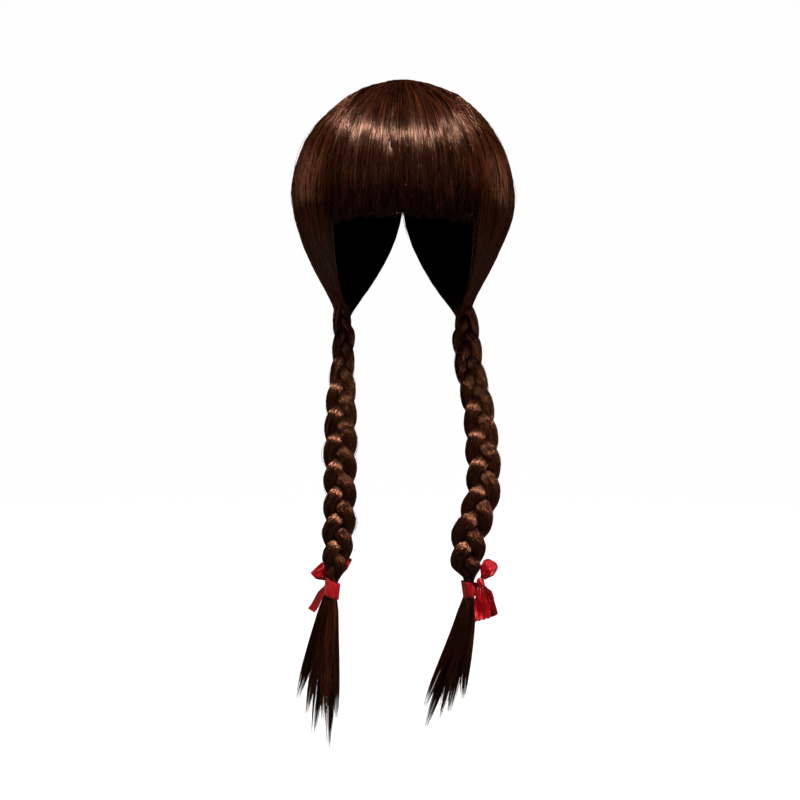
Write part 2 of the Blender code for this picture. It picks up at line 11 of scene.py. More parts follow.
import bpy
import numpy as np
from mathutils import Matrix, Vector


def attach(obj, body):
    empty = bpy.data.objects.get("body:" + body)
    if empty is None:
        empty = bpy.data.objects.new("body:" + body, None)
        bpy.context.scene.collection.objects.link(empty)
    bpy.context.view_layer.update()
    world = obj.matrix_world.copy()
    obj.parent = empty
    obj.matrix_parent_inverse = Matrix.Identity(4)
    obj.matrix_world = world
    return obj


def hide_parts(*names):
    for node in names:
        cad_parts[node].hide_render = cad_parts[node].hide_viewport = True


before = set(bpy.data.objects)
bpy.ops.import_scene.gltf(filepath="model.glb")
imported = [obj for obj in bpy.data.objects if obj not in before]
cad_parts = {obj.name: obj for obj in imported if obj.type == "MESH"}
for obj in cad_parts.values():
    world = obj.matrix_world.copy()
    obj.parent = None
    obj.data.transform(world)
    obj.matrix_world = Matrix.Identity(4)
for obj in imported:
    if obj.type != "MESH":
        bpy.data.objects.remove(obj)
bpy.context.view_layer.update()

bpy.ops.object.select_all(action="DESELECT")

# %% [markdown]
# ## Camera
# The photograph is taken from straight ahead and from just above the middle of the wig, with a
# long lens that keeps the braids the same width near and far. The camera is placed on a circle
# round the middle of the picture, so one distance, one height angle and one lens say it all.

# %% Camera
VIEW_DISTANCE = 1.70
VIEW_ELEVATION = math.radians(3.0)
VIEW_CENTRE = Vector((-0.0026, 0.0, -0.262))
VIEW_LENS = 88.965

view_back = Vector((0.0, -math.cos(VIEW_ELEVATION), math.sin(VIEW_ELEVATION)))
bpy.ops.object.camera_add(
    location=VIEW_CENTRE + view_back * VIEW_DISTANCE,
    rotation=(math.pi / 2 - VIEW_ELEVATION, 0.0, 0.0),
)
camera = bpy.context.object
camera.name = "front_camera"
camera.data.lens = VIEW_LENS
camera.data.sensor_width = 36.0
bpy.context.scene.camera = camera
print("camera at", [round(value, 3) for value in camera.location])

# %% [markdown]
# ## Materials as trees of nodes
# In Blender a material is a small tree of nodes, as in the shader editor. It could be drawn by
# hand there, but code keeps it exact. One helper adds a node with its settings, and one gives
# its inputs plain values or links, so each tree below reads from its textures to its shader.

# %% Add a node and feed its inputs


def feed(node, inputs):
    """Give a node's inputs plain values, or links from the outputs of other nodes."""
    for key, value in inputs.items():
        if isinstance(value, bpy.types.NodeSocket):
            node.id_data.links.new(value, node.inputs[key])
        else:
            node.inputs[key].default_value = value


def add_node(tree, kind, inputs=None, **settings):
    """A shader node with its settings and inputs."""
    node = tree.nodes.new("ShaderNode" + kind)
    for name, value in settings.items():
        setattr(node, name, value)
    feed(node, inputs or {})
    return node


def combine(tree, operation, first, second, **settings):
    """The output of a Math node on two values or sockets."""
    inputs = {0: first, 1: second}
    return add_node(tree, "Math", inputs, operation=operation, **settings).outputs[0]


def new_material(name, inputs):
    """A material and its shader, whose constants stand on the shader's own sockets."""
    material = bpy.data.materials.new(name)
    material.use_nodes = True
    shader = material.node_tree.nodes["Principled BSDF"]
    feed(shader, inputs)
    return material, shader


print("helpers:", [helper.__name__ for helper in (feed, add_node, combine, new_material)])

# %% [markdown]
# ## Stage
# A white paper sweep is one sheet that lies on the floor and curves up behind, so it shows no
# corner. It starts as a plane, its far edge is pulled up, and a wide bevel makes the curve. In a
# studio such paper has lamps of its own, which don't reach the hair. Here it glows for the
# camera alone, so that the ground is near white and the dark hair keeps its contrast. The plain
# view transform keeps the red of the satin as strong as it is.

# %% White sweep
FLOOR_LEVEL = -0.60
PAPER_GLOW = 0.97

bpy.ops.mesh.primitive_plane_add(size=9.0, location=(0.0, 0.0, FLOOR_LEVEL))
sweep_sheet = bpy.context.object
sweep_sheet.name = "paper_sweep"
bpy.ops.object.mode_set(mode="EDIT")
bpy.ops.mesh.select_all(action="DESELECT")
bpy.ops.object.mode_set(mode="OBJECT")
for edge in sweep_sheet.data.edges:
    ends = [sweep_sheet.data.vertices[index].co.y for index in edge.vertices]
    edge.select = min(ends) > 4.0
bpy.ops.object.mode_set(mode="EDIT")
bpy.ops.mesh.extrude_edges_move(TRANSFORM_OT_translate={"value": (0.0, 0.0, 6.0)})
bpy.ops.object.mode_set(mode="OBJECT")
curve_back = sweep_sheet.modifiers.new("curve_back", "BEVEL")
curve_back.width = 2.0
curve_back.segments = 24
bpy.ops.object.modifier_apply(modifier="curve_back")
bpy.ops.object.shade_smooth()

paper, paper_shader = new_material("white_paper", {
    "Base Color": (0.12, 0.12, 0.12, 1.0),
    "Roughness": 0.9,
    "Emission Color": (1.0, 1.0, 1.0, 1.0),
})
seen = add_node(paper.node_tree, "LightPath").outputs["Is Camera Ray"]
paper_glow = combine(paper.node_tree, "MULTIPLY", seen, PAPER_GLOW)
feed(paper_shader, {"Emission Strength": paper_glow})
bpy.context.scene.view_settings.view_transform = "Standard"
sweep_sheet.data.materials.append(paper)
print("paper sweep:", len(sweep_sheet.data.polygons), "faces")

# %% [markdown]
# ## Light
# The bright band across the fringe lies where the hair turns from the crown to the forehead, so
# its lamp hangs almost overhead and a little in front. Two tall side panels warm the sides of
# the hair, and weak panels in front and behind open the shadows. The one behind is low, so that
# its light doesn't graze the crown. A lamp with a narrow beam reaches the braids alone and draws
# the copper gleam on the upper side of each of their lobes.

# %% Soft lamps
LAMPS = (
    ("top_lamp", (-0.16, -0.58, 1.36), (0.0, -0.05, -0.10), (0.50, 0.10), 54.0, (1.0, 0.93, 0.84)),
    ("left_panel", (-1.20, -0.15, 0.05), (0.0, 0.0, -0.15), (0.4, 1.1), 6.0, (1.0, 0.74, 0.54)),
    ("right_panel", (1.20, -0.15, 0.05), (0.0, 0.0, -0.15), (0.4, 1.1), 8.0, (1.0, 0.70, 0.50)),
    ("front_panel", (-0.35, -2.2, 0.55), (0.0, 0.0, -0.25), (1.2, 1.2), 2.4, (1.0, 0.86, 0.74)),
    ("back_panel", (0.20, 1.8, -0.35), (0.0, 0.0, -0.25), (1.4, 0.6), 13.0, (1.0, 0.84, 0.70)),
)
ROOM_LIGHT, ROOM_GLOW = 0.022, 1.03


def soft_lamp(name, place, target, size, power, colour):
    """A rectangular lamp that faces a target."""
    bpy.ops.object.light_add(type="AREA", location=place)
    lamp = bpy.context.object
    lamp.name = name
    lamp.rotation_euler = (Vector(target) - Vector(place)).to_track_quat("-Z", "Y").to_euler()
    lamp.data.shape = "RECTANGLE"
    lamp.data.size, lamp.data.size_y = size
    lamp.data.energy = power
    lamp.data.color = colour
    return lamp


for lamp in LAMPS:
    soft_lamp(*lamp)
braid_lamp = soft_lamp(
    "braid_lamp", (0.58, -0.95, 0.42), (0.01, -0.05, -0.385), (0.50, 0.20), 0.74, (1.0, 0.92, 0.82)
)
braid_lamp.data.spread = math.radians(14.0)

world = bpy.data.worlds.new("soft_room")
bpy.context.scene.world = world
world.use_nodes = True
seen = add_node(world.node_tree, "LightPath").outputs["Is Camera Ray"]
limits = {"Value": seen, "To Min": ROOM_LIGHT, "To Max": ROOM_GLOW}
room_glow = add_node(world.node_tree, "MapRange", limits)
feed(world.node_tree.nodes["Background"], {
    "Color": (1.0, 0.98, 0.96, 1.0), "Strength": room_glow.outputs[0]
})

# %% [markdown]
# ## The way the hair runs
# Every strand follows the same few lines as the solids: from the whorl over the dome of the head,
# then straight down for the fringe, or in a soft curve into the root of a braid. These sizes
# repeat those of the solid model in metres, and the functions take whole arrays of shares, so
# thousands of strands are worked out at once.

# %% Sizes of the head room and the hair over it
ROOM_HALF_WIDTH, ROOM_FRONT, ROOM_BACK, WIDEST_DEPTH = 0.0825, 0.102, 0.096, 0.084
HAIR_SIDE, HAIR_FRONT, HAIR_BACK, HAIR_TOP = 0.011, 0.008, 0.010, 0.0115
CROWN_TAPER = 1.15
GROOVE_DEPTH = 0.0018
FRINGE_TURN = math.radians(43.5)
FRINGE_FALL = 0.0235
FRINGE_UNEVEN = 0.005
FRINGE_LEAN = 0.0035
FRINGE_HEM_WALL = 0.0035
FRINGE_LOCKS = (
    (0.150, 1.00), (0.180, 0.25), (0.160, 0.30), (0.190, 0.10), (0.150, 0.45), (0.170, 1.00),
)
HALF_LOCKS = {
    "left": (0.12, 0.15, 0.13, 0.17, 0.14, 0.15, 0.14),
    "right": (0.14, 0.13, 0.16, 0.13, 0.16, 0.13, 0.15),
}
SIDES = {"left": -1.0, "right": 1.0}


def smooth_rows(table, share):
    """The columns of a table at shares of its first column, on smooth curves."""
    table = np.asarray(table, float)
    share = np.asarray(share, float)
    index = np.clip(np.searchsorted(table[:, 0], share, side="right") - 1, 0, len(table) - 2)
    before = table[np.maximum(index - 1, 0)]
    start, end = table[index], table[index + 1]
    after = table[np.minimum(index + 2, len(table) - 1)]
    span = (end[..., 0] - start[..., 0])[..., None]
    part = (share[..., None] - start[..., :1]) / span
    slope_in = (end - before) / (end[..., :1] - before[..., :1]) * span
    slope_out = (after - start) / (after[..., :1] - start[..., :1]) * span
    return (
        start * (2 * part**3 - 3 * part**2 + 1)
        + slope_in * (part**3 - 2 * part**2 + part)
        + end * (3 * part**2 - 2 * part**3)
        + slope_out * (part**3 - part**2)
    )[..., 1:]


def smoothstep(share):
    """A share from 0 to 1 with a soft start and end."""
    share = np.clip(share, 0.0, 1.0)
    return share * share * (3.0 - 2.0 * share)


def unit(vectors):
    """Vectors at length 1."""
    return vectors / np.maximum(np.linalg.norm(vectors, axis=-1, keepdims=True), 1e-9)


def bezier(controls, share):
    """Points of a curve with four control points, at shares of its length."""
    rest = 1.0 - share
    weights = (rest**3, 3 * rest**2 * share, 3 * rest * share**2, share**3)
    return sum(weight * control for weight, control in zip(weights, controls))


def dome_points(turn, slope, depth, lift):
    """Points over the head: turn from the front, slope from the crown, depth 0 in to 1 out."""
    half = ROOM_HALF_WIDTH + depth * HAIR_SIDE + lift
    front = ROOM_FRONT + depth * HAIR_FRONT + lift
    back = ROOM_BACK + depth * HAIR_BACK + lift
    rise = WIDEST_DEPTH + depth * HAIR_TOP + lift
    reach = np.where(np.cos(turn) > 0.0, front, back)
    level = np.sin(slope) ** CROWN_TAPER
    x = half * level * np.sin(turn)
    y = -reach * level * np.cos(turn)
    z = rise * np.cos(slope) - WIDEST_DEPTH
    return np.stack(np.broadcast_arrays(x, y, z), axis=-1)


print("crown of the hair in mm:", np.round(dome_points(0.0, 0.01, 1.0, 0.0) * 1000, 1))

# %% [markdown]
# ## Strands as thin tubes
# Real hair shines because it is thousands of round fibres, each with its own tone. A picture on
# a smooth shell can't break up the light like that, and Blender's own hair curves don't export
# as a solid mesh. So a strand here is a thin tube with three sides, and all strands of a piece
# are one joined mesh that is written from arrays. Its UV map keeps a random tone across and the
# share of the length along, for the material to read.

# %% Tubes as arrays
STRAND_SIDES = 3


def tube_faces(count, stations, sides):
    """Faces of closed tubes: quads along them, and a cap at each end."""
    base = (np.arange(count) * stations * sides)[:, None, None]
    row = base + (np.arange(stations - 1) * sides)[None, :, None]
    here = np.arange(sides)[None, None, :]
    after = (here + 1) % sides
    quads = np.stack([row + here, row + after, row + sides + after, row + sides + here], axis=-1)
    start = base[:, 0] + here[0, :, ::-1]
    end = base[:, 0] + (stations - 1) * sides + here[0]
    return [quads.reshape(-1, 4), np.concatenate([start, end])]


def strand_parts(paths, radii, tones, reference=(0.0, 1.0, 0.0)):
    """Points, faces and UVs of tubes along paths (strands, stations, 3)."""
    count, stations, _ = paths.shape
    tangent = unit(np.gradient(paths, axis=1))
    side = unit(np.cross(tangent, reference))
    other = np.cross(tangent, side)
    angle = (np.arange(STRAND_SIDES) * math.tau / STRAND_SIDES)[None, None, :, None]
    ring = side[:, :, None] * np.cos(angle) + other[:, :, None] * np.sin(angle)
    points = (paths[:, :, None] + ring * radii[:, :, None, None]).reshape(-1, 3)
    along = np.repeat(np.tile(np.linspace(0.0, 1.0, stations), count), STRAND_SIDES)
    across = np.repeat(tones, stations * STRAND_SIDES)
    return points, tube_faces(count, stations, STRAND_SIDES), np.stack([across, along], axis=-1)


def tapered(radius, stations, tip_share):
    """Radii along strands: thin at the root and drawn out over the last share of the length."""
    along = np.linspace(0.0, 1.0, stations)[None, :]
    grow = 0.15 + 0.85 * smoothstep(along / 0.08)
    fade = 0.12 + 0.88 * smoothstep((1.0 - along) / tip_share)
    return radius[:, None] * grow * fade


thin = tapered(np.full(1, 0.0002), 6, 0.2)[0]
print("radii of a 0.4 mm strand in mm:", np.round(thin * 1000, 3))

# %% [markdown]
# ## Shells and joined parts
# Under its strands each piece has lying hair: a closed wall between an outer and an inner grid
# of points, with low ridges for its locks. It could be a deformed primitive, but the grids
# follow the same lines as the strands. Shell and strands are joined to one mesh, and each part
# has a material slot of its own.

# %% Walls between two grids


def closed_grid(outer, inner):
    """Points and faces of a wall between two equal grids of points, its outer and inner side."""
    rows, columns = outer.shape[:2]
    index = np.arange(rows * columns).reshape(rows, columns)
    back = index + rows * columns

    def between(first, second):
        return np.stack([first[:-1], first[1:], second[1:], second[:-1]], axis=-1).reshape(-1, 4)

    outside = [index[:-1, :-1], index[:-1, 1:], index[1:, 1:], index[1:, :-1]]
    inside = [back[:-1, :-1], back[1:, :-1], back[1:, 1:], back[:-1, 1:]]
    faces = np.concatenate([
        np.stack(outside, axis=-1).reshape(-1, 4),
        np.stack(inside, axis=-1).reshape(-1, 4),
        between(back[0], index[0]),
        between(index[-1], back[-1]),
        between(index[:, 0], back[:, 0]),
        between(back[:, -1], index[:, -1]),
    ])
    return np.concatenate([outer.reshape(-1, 3), inner.reshape(-1, 3)]), faces[:, ::-1]


small = np.zeros((3, 4, 3))
print("faces of a wall of 2 by 3 squares:", len(closed_grid(small, small)[1]))

# %% Join parts and dress a piece


def join_parts(name, parts):
    """One object of parts, each with its points, face arrays, UVs and material slot."""
    offsets = np.cumsum([0] + [len(part[0]) for part in parts])
    faces = [
        (array + offset, slot)
        for (_, arrays, _, slot), offset in zip(parts, offsets)
        for array in arrays
    ]
    points = np.concatenate([part[0] for part in parts])
    uvs = np.concatenate([part[2] for part in parts])
    corners = np.concatenate([array.ravel() for array, _ in faces]).astype(np.int32)
    sizes = np.concatenate([np.full(len(array), array.shape[1]) for array, _ in faces])
    slots = np.concatenate([np.full(len(array), slot) for array, slot in faces])
    starts = np.concatenate([[0], np.cumsum(sizes)[:-1]])
    mesh = bpy.data.meshes.new(name)
    mesh.vertices.add(len(points))
    mesh.vertices.foreach_set("co", points.astype(np.float32).ravel())
    mesh.loops.add(len(corners))
    mesh.loops.foreach_set("vertex_index", corners)
    mesh.polygons.add(len(sizes))
    mesh.polygons.foreach_set("loop_start", starts.astype(np.int32))
    mesh.polygons.foreach_set("loop_total", sizes.astype(np.int32))
    mesh.polygons.foreach_set("material_index", slots.astype(np.int32))
    layer = mesh.uv_layers.new(name="fibre")
    layer.data.foreach_set("uv", uvs[corners].astype(np.float32).ravel())
    mesh.update(calc_edges=True)
    mesh.validate()
    mesh.shade_smooth()
    piece = bpy.data.objects.new(name, mesh)
    bpy.context.scene.collection.objects.link(piece)
    return piece


def dress(piece, node, slot, *finishes):
    """Give a piece its materials and its body, and put it in the place of its node."""
    for finish in finishes:
        piece.data.materials.append(finish)
    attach(piece, "root")
    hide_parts(node)
    print(piece.name + ":", len(piece.data.polygons), "faces")


print("helpers:", join_parts.__name__, dress.__name__)

# %% [markdown]
# ## Hair finish
# Brown hair is dark inside and warm where light gets through it. One node group gives every hair
# material its tone: long noise along the fibre sets how dark a strand is, finer noise adds the
# hairs inside it, and both drive colour, roughness and a small height. Each strand also darkens
# towards its end, which is painted shade for the lower fringe and the lower halves. The gloss is
# a Principled shader with a warm tint on its reflection, because hair colours the light that
# leaves it.

# %% Fibre tone as a shared node group


def new_group(name, inputs, outputs):
    """A node group with named sockets, its given values and its result."""
    group = bpy.data.node_groups.new(name, "ShaderNodeTree")
    for way, sockets in (("INPUT", inputs), ("OUTPUT", outputs)):
        for label, kind in sockets.items():
            socket = "NodeSocket" + kind
            group.interface.new_socket(label, in_out=way, socket_type=socket)
    given = group.nodes.new("NodeGroupInput").outputs
    return group, given, group.nodes.new("NodeGroupOutput")


TONE_OUTPUTS = {"Colour": "Color", "Roughness": "Float", "Height": "Float"}


def fibre_group():
    """Colour, roughness and height of hair from its place across and along the fibres."""
    group, given, result = new_group(
        "fibre_tone",
        {
            "Across": "Float", "Along": "Float", "Dark": "Color", "Warm": "Color",
            "Warm Share": "Float", "Painted Tip Shade": "Float", "Softness": "Float",
        },
        TONE_OUTPUTS,
    )

    def noise(across_scale, along_scale, detail):
        place = add_node(group, "CombineXYZ", {
            "X": combine(group, "MULTIPLY", given["Across"], across_scale),
            "Y": combine(group, "MULTIPLY", given["Along"], along_scale),
        })
        inputs = {"Vector": place.outputs[0], "Scale": 1.0, "Detail": detail}
        return add_node(group, "TexNoise", inputs).outputs["Fac"]

    locks, hairs = noise(60.0, 1.6, 2.0), noise(420.0, 5.0, 3.0)
    spread = add_node(group, "MapRange", {"Value": locks, "From Min": 0.43, "From Max": 0.62})
    limits = {"Value": hairs, "From Min": 0.35, "From Max": 0.70, "To Min": 0.45, "To Max": 1.25}
    fine = add_node(group, "MapRange", limits).outputs[0]
    both = combine(group, "MULTIPLY", spread.outputs[0], fine)
    share = combine(group, "MULTIPLY", both, given["Warm Share"], use_clamp=True)
    # Painted shade: the warm tone fades towards each strand's end, for the lower fringe and
    # halves.
    late = combine(group, "POWER", given["Along"], 1.2)
    painted_shade = combine(group, "MULTIPLY", late, given["Painted Tip Shade"], use_clamp=True)
    warmth = combine(group, "MULTIPLY", share, combine(group, "SUBTRACT", 1.0, painted_shade))
    inputs = {"Factor": warmth, "A": given["Dark"], "B": given["Warm"]}
    tone = add_node(group, "Mix", inputs, data_type="RGBA")
    rough = add_node(group, "MapRange", {"Value": hairs, "To Min": 0.13, "To Max": 0.36})
    feed(result, {
        "Colour": tone.outputs["Result"],
        "Roughness": combine(group, "ADD", rough.outputs[0], given["Softness"]),
        "Height": fine,
    })
    return group


FIBRE_TONE = fibre_group()
print("shared group:", FIBRE_TONE.name)

# %% Hair materials
DARK_BROWN = (0.0055, 0.0014, 0.0007)
TAIL_BROWN = (0.0040, 0.0011, 0.0006)
MID_BROWN = (0.042, 0.0098, 0.0040)
CHESTNUT = (0.125, 0.0290, 0.0105)
WARM_TINT = (1.0, 0.50, 0.33)
SIDE_TINT = (1.0, 0.43, 0.25)
COPPER_TINT = (1.0, 0.39, 0.21)


def draw_out_gloss(tree, shader, layer, amount, height, strength, distance):
    """Gloss that is drawn out by fibres along a UV map, and the bump of their height."""
    tangent = add_node(tree, "Tangent", direction_type="UV_MAP", uv_map=layer)
    inputs = {"Strength": strength, "Distance": distance, "Height": height}
    bump = add_node(tree, "Bump", inputs)
    feed(shader, {
        "Anisotropic": amount,
        "Tangent": tangent.outputs["Tangent"],
        "Normal": bump.outputs["Normal"],
    })


def hair_material(
    name, dark, warm, warm_share, tint, gloss, painted_tip_shade, softness, across_scale, lying=False
):
    """A glossy hair finish; lying hair is a shell whose gloss spreads across its fibres."""
    material, shader = new_material(
        name, {"IOR": 1.47, "Specular IOR Level": gloss, "Specular Tint": (*tint, 1.0)}
    )
    tree = material.node_tree
    fibre_map = add_node(tree, "UVMap", uv_map="fibre")
    split = add_node(tree, "SeparateXYZ", {0: fibre_map.outputs["UV"]})
    tone = add_node(tree, "Group", {
        "Across": combine(tree, "MULTIPLY", split.outputs["X"], across_scale),
        "Along": split.outputs["Y"],
        "Dark": (*dark, 1.0),
        "Warm": (*warm, 1.0),
        "Warm Share": warm_share,
        "Painted Tip Shade": painted_tip_shade,
        "Softness": softness,
    }, node_tree=FIBRE_TONE).outputs
    feed(shader, {"Base Color": tone["Colour"], "Roughness": tone["Roughness"]})
    if lying:
        draw_out_gloss(tree, shader, "fibre", 0.8, tone["Height"], 0.5, 0.0003)
    return material


# The sixth value of each finish is its painted shade towards the strand ends.
HAIR_FINISHES = {
    "crown_strand_hair": (DARK_BROWN, CHESTNUT, 0.62, WARM_TINT, 0.45, 0.88, 0.0, 0.15),
    "side_strand_hair": (DARK_BROWN, CHESTNUT, 0.62, SIDE_TINT, 0.40, 0.40, 0.0, 0.15),
    "crown_lying_hair": (DARK_BROWN, MID_BROWN, 0.6, WARM_TINT, 0.40, 0.60, 0.0, 1.0, True),
    "braid_strand_hair": (DARK_BROWN, CHESTNUT, 0.08, COPPER_TINT, 0.82, 0.0, 0.04, 0.2),
    "braid_lying_hair": (DARK_BROWN, MID_BROWN, 0.10, COPPER_TINT, 0.38, 0.0, 0.04, 1.0, True),
    "tail_strand_hair": (TAIL_BROWN, CHESTNUT, 0.20, WARM_TINT, 0.40, 0.2, 0.05, 0.3),
    "tail_light_hair": (DARK_BROWN, CHESTNUT, 0.60, WARM_TINT, 0.50, 0.2, 0.05, 0.5),
}
hair = {name: hair_material(name, *values) for name, values in HAIR_FINISHES.items()}
print("hair finishes:", list(hair))

# %% [markdown]
# ## Fringe
# The fringe is the piece that the eye meets first. Its shell carries the lying hair, and the
# strands over it start at every distance from the whorl, so that they lie equally close
# everywhere. They gather into small clumps towards the hem, and each clump ends a little higher
# or lower than the next, as hair does when it is cut with scissors.

# %% Lines of the fringe
SHELL_COLUMNS = 121
SHELL_SINK = 0.0014
WHORL_SLOPE = 0.03
FALL_PART = 0.22
fringe_hem = [(0.0, FRINGE_LOCKS[0][1])]
lock_start = 0.0
for lock_width, lock_hem in FRINGE_LOCKS:
    fringe_hem.append((lock_start + lock_width / 2, lock_hem))
    lock_start += lock_width
fringe_hem.append((lock_start, FRINGE_LOCKS[-1][1]))


def lock_relief(widths, share):
    """Height over the valleys between locks, from 0 in a valley to 1 on a crest."""
    edges = np.concatenate([[0.0], np.cumsum(widths)])
    edges = edges / edges[-1]
    index = np.clip(np.searchsorted(edges, share, side="right") - 1, 0, len(widths) - 1)
    part = (share - edges[index]) / (edges[index + 1] - edges[index])
    return np.clip(np.sin(np.pi * np.clip(part, 0.0, 1.0)), 0.0, 1.0) ** 0.5


def shell_part(lines, widths, rows, way_end, uv_scale=(1.0, 1.0), mirrored=False):
    """The lying hair under a piece's strands, as a part of its mesh in the second slot."""
    across = np.linspace(0.003, 0.997, SHELL_COLUMNS)[None, :]
    ways = np.linspace(0.0, way_end, rows)[:, None]
    share, way = np.broadcast_arrays(across, ways)
    crest = (lock_relief(widths, share) * 1.3 - 1.0) * GROOVE_DEPTH - SHELL_SINK
    outer = lines(share, way, np.ones_like(share), crest)
    inner = lines(share, way, np.zeros_like(share), np.zeros_like(share))
    if mirrored:
        outer, inner, share = outer[:, ::-1], inner[:, ::-1], share[:, ::-1]
    points, faces = closed_grid(outer, inner)
    uv = np.stack([share * uv_scale[0], way * uv_scale[1]], axis=-1).reshape(-1, 2)
    return points, [faces], np.concatenate([uv, uv]), 1


def fringe_lines(share, way, depth, lift):
    """Points of the fringe: share across, way from the whorl at 0 to the hem at 1."""
    turn = -FRINGE_TURN + 2 * FRINGE_TURN * share
    on_dome = np.clip(way / (1.0 - FALL_PART), 0.0, 1.0)
    fallen = np.clip((way - 1.0 + FALL_PART) / FALL_PART, 0.0, 1.3)
    slope = WHORL_SLOPE + (math.pi / 2 - WHORL_SLOPE) * on_dome
    points = dome_points(turn, slope, depth, lift * smoothstep(np.sin(slope) * 2.2))
    uneven = smooth_rows(fringe_hem, np.clip(share, 0.0, 1.0))[..., 0] * FRINGE_UNEVEN
    outward = unit(points * np.array([1.0, 1.0, 0.0]))
    wall = (1.0 - depth) * (HAIR_FRONT - FRINGE_HEM_WALL)
    inwards = FRINGE_LEAN * fallen - wall * fallen**2
    points = points - outward * inwards[..., None]
    points[..., 2] -= (FRINGE_FALL + uneven) * fallen
    return points


hem_middle = fringe_lines(np.full(1, 0.5), np.ones(1), np.ones(1), np.zeros(1))
print("middle of the hem in mm:", np.round(hem_middle[0] * 1000, 1))

# %% Shell of the fringe
fringe_widths = [lock[0] for lock in FRINGE_LOCKS]
fringe_shell = shell_part(fringe_lines, fringe_widths, 48, 0.975)
print("fringe shell:", len(fringe_shell[1][0]), "faces")

# %% How strands lie
WHORL_TUCK = 0.0024
OWN_LIFT = (-0.0008, 0.0006)
rng = np.random.default_rng(11)


def wander(count, stations, size):
    """A slow sideways drift along each strand."""
    along = np.linspace(0.0, 1.0, stations)[None, :]
    lean = rng.normal(0.0, size, (count, 1)) * along**1.5
    wave = rng.normal(0.0, size * 0.35, (count, 1))
    phase = rng.uniform(0.0, math.tau, (count, 1))
    return lean + wave * np.sin(phase + along * rng.uniform(2.0, 6.0, (count, 1)))


def lock_waves(lock, way, count, size):
    """A slow rise and fall that all strands of one lock share."""
    height = rng.normal(0.0, size, count)[lock][:, None]
    phase = rng.uniform(0.0, math.tau, count)[lock][:, None]
    return height * np.sin(phase + way * 14.0)


def lock_tones(lock, count, own_share):
    """Tones that are alike within a lock."""
    own = rng.uniform(0.0, 1.0, len(lock))
    return rng.uniform(0.0, 1.0, count)[lock] * (1.0 - own_share) + own * own_share


def even_starts(count, most):
    """Starts from the whorl outwards so that strands lie equally close on the dome."""
    return np.clip(rng.uniform(0.0, 1.0, count) ** 0.9 * most, 0.012, most)


def lying_lift(widths, share, way, along, lock, clumps, wave):
    """Height of strands: their own, their lock's waves and relief, and a tuck at the whorl."""
    lift = rng.uniform(*OWN_LIFT, len(way))[:, None] + np.zeros_like(way)
    lift = lift + lock_waves(lock, way, clumps + 1, wave)
    lift = lift + (lock_relief(widths, np.clip(share, 0, 1)) * 1.1 - 1.0) * GROOVE_DEPTH
    return lift - WHORL_TUCK * (1.0 - smoothstep(along / 0.12))


def dome_reference(turn):
    """Directions along the dome, square to strands at turns from the front."""
    return np.stack([np.cos(turn), np.sin(turn), np.zeros(len(turn))], axis=-1)[:, None, :]


print("strands start within", round(WHORL_TUCK * 1000, 1), "mm under the hair at the whorl")

# %% Strands of the fringe
FRINGE_STRANDS = 1400
FRINGE_STATIONS = 15
FRINGE_STRAYS = 90
FRINGE_CLUMPS = 36
FRINGE_WANDER, FRINGE_WAVE, FRINGE_STRAY_LIFT = 0.012, 0.0010, 0.0018
FRINGE_THICKNESS = (0.00024, 0.00046)
FRINGE_GATHER, HEM_OWN_SPREAD, HEM_CLUMP_SPREAD = 0.45, 0.007, 0.010
STRAY_LEAN = (-0.16, 0.08)
share_own = rng.uniform(0.0, 1.0, FRINGE_STRANDS)
lock = np.round(share_own * FRINGE_CLUMPS + rng.normal(0.0, 0.25, FRINGE_STRANDS)).astype(int)
lock = np.clip(lock, 0, FRINGE_CLUMPS)
clump = lock / FRINGE_CLUMPS
stray = np.arange(FRINGE_STRANDS) < FRINGE_STRAYS
hem_end = 1.0 + rng.normal(0.0, HEM_OWN_SPREAD, FRINGE_STRANDS)
hem_end = hem_end + rng.normal(0.0, HEM_CLUMP_SPREAD, FRINGE_CLUMPS + 1)[lock]
start = even_starts(FRINGE_STRANDS, 0.80)
along = np.linspace(0.0, 1.0, FRINGE_STATIONS)[None, :]
way = start[:, None] + (hem_end - start)[:, None] * along
pull = FRINGE_GATHER * way**3
share = share_own[:, None] * (1.0 - pull) + clump[:, None] * pull
share = share + wander(FRINGE_STRANDS, FRINGE_STATIONS, FRINGE_WANDER)
stray_lean = rng.uniform(*STRAY_LEAN, (FRINGE_STRANDS, 1))
share = share + np.where(stray[:, None], stray_lean * along, 0.0)
share = np.clip(share, -0.02, 1.02)
lift = lying_lift(fringe_widths, share, way, along, lock, FRINGE_CLUMPS, FRINGE_WAVE)
lift = lift + np.where(stray[:, None], FRINGE_STRAY_LIFT * along, 0.0)
depth = rng.uniform(0.0, 0.6, FRINGE_STRANDS)[:, None] ** 1.5
depth = 1.0 - depth * smoothstep((way - 0.82) / 0.18)
paths = fringe_lines(share, way, depth, lift)
thick = rng.uniform(*FRINGE_THICKNESS, FRINGE_STRANDS) * np.where(stray, 0.6, 1.0)
radii = tapered(thick, FRINGE_STATIONS, 0.16)
tones = lock_tones(lock, FRINGE_CLUMPS + 1, 0.35)
tones = np.where(stray, 0.5, tones)
strands = strand_parts(paths, radii, tones, dome_reference(share_own - 0.5))
fringe = join_parts("fringe_strands", [fringe_shell, (*strands, 0)])
finishes = hair["crown_strand_hair"], hair["crown_lying_hair"]
dress(fringe, "fringe", "fringe_hair", *finishes)

# %% [markdown]
# ## The two halves
# Each half runs from the whorl over the side and the back, and is then swept forward into the
# root of its braid. A strand is first a line on the dome and then a curve with four control
# points, which starts straight down and arrives at the root with the lean of the braid. The
# strands end inside the top of the braid, so that no cut edge shows.

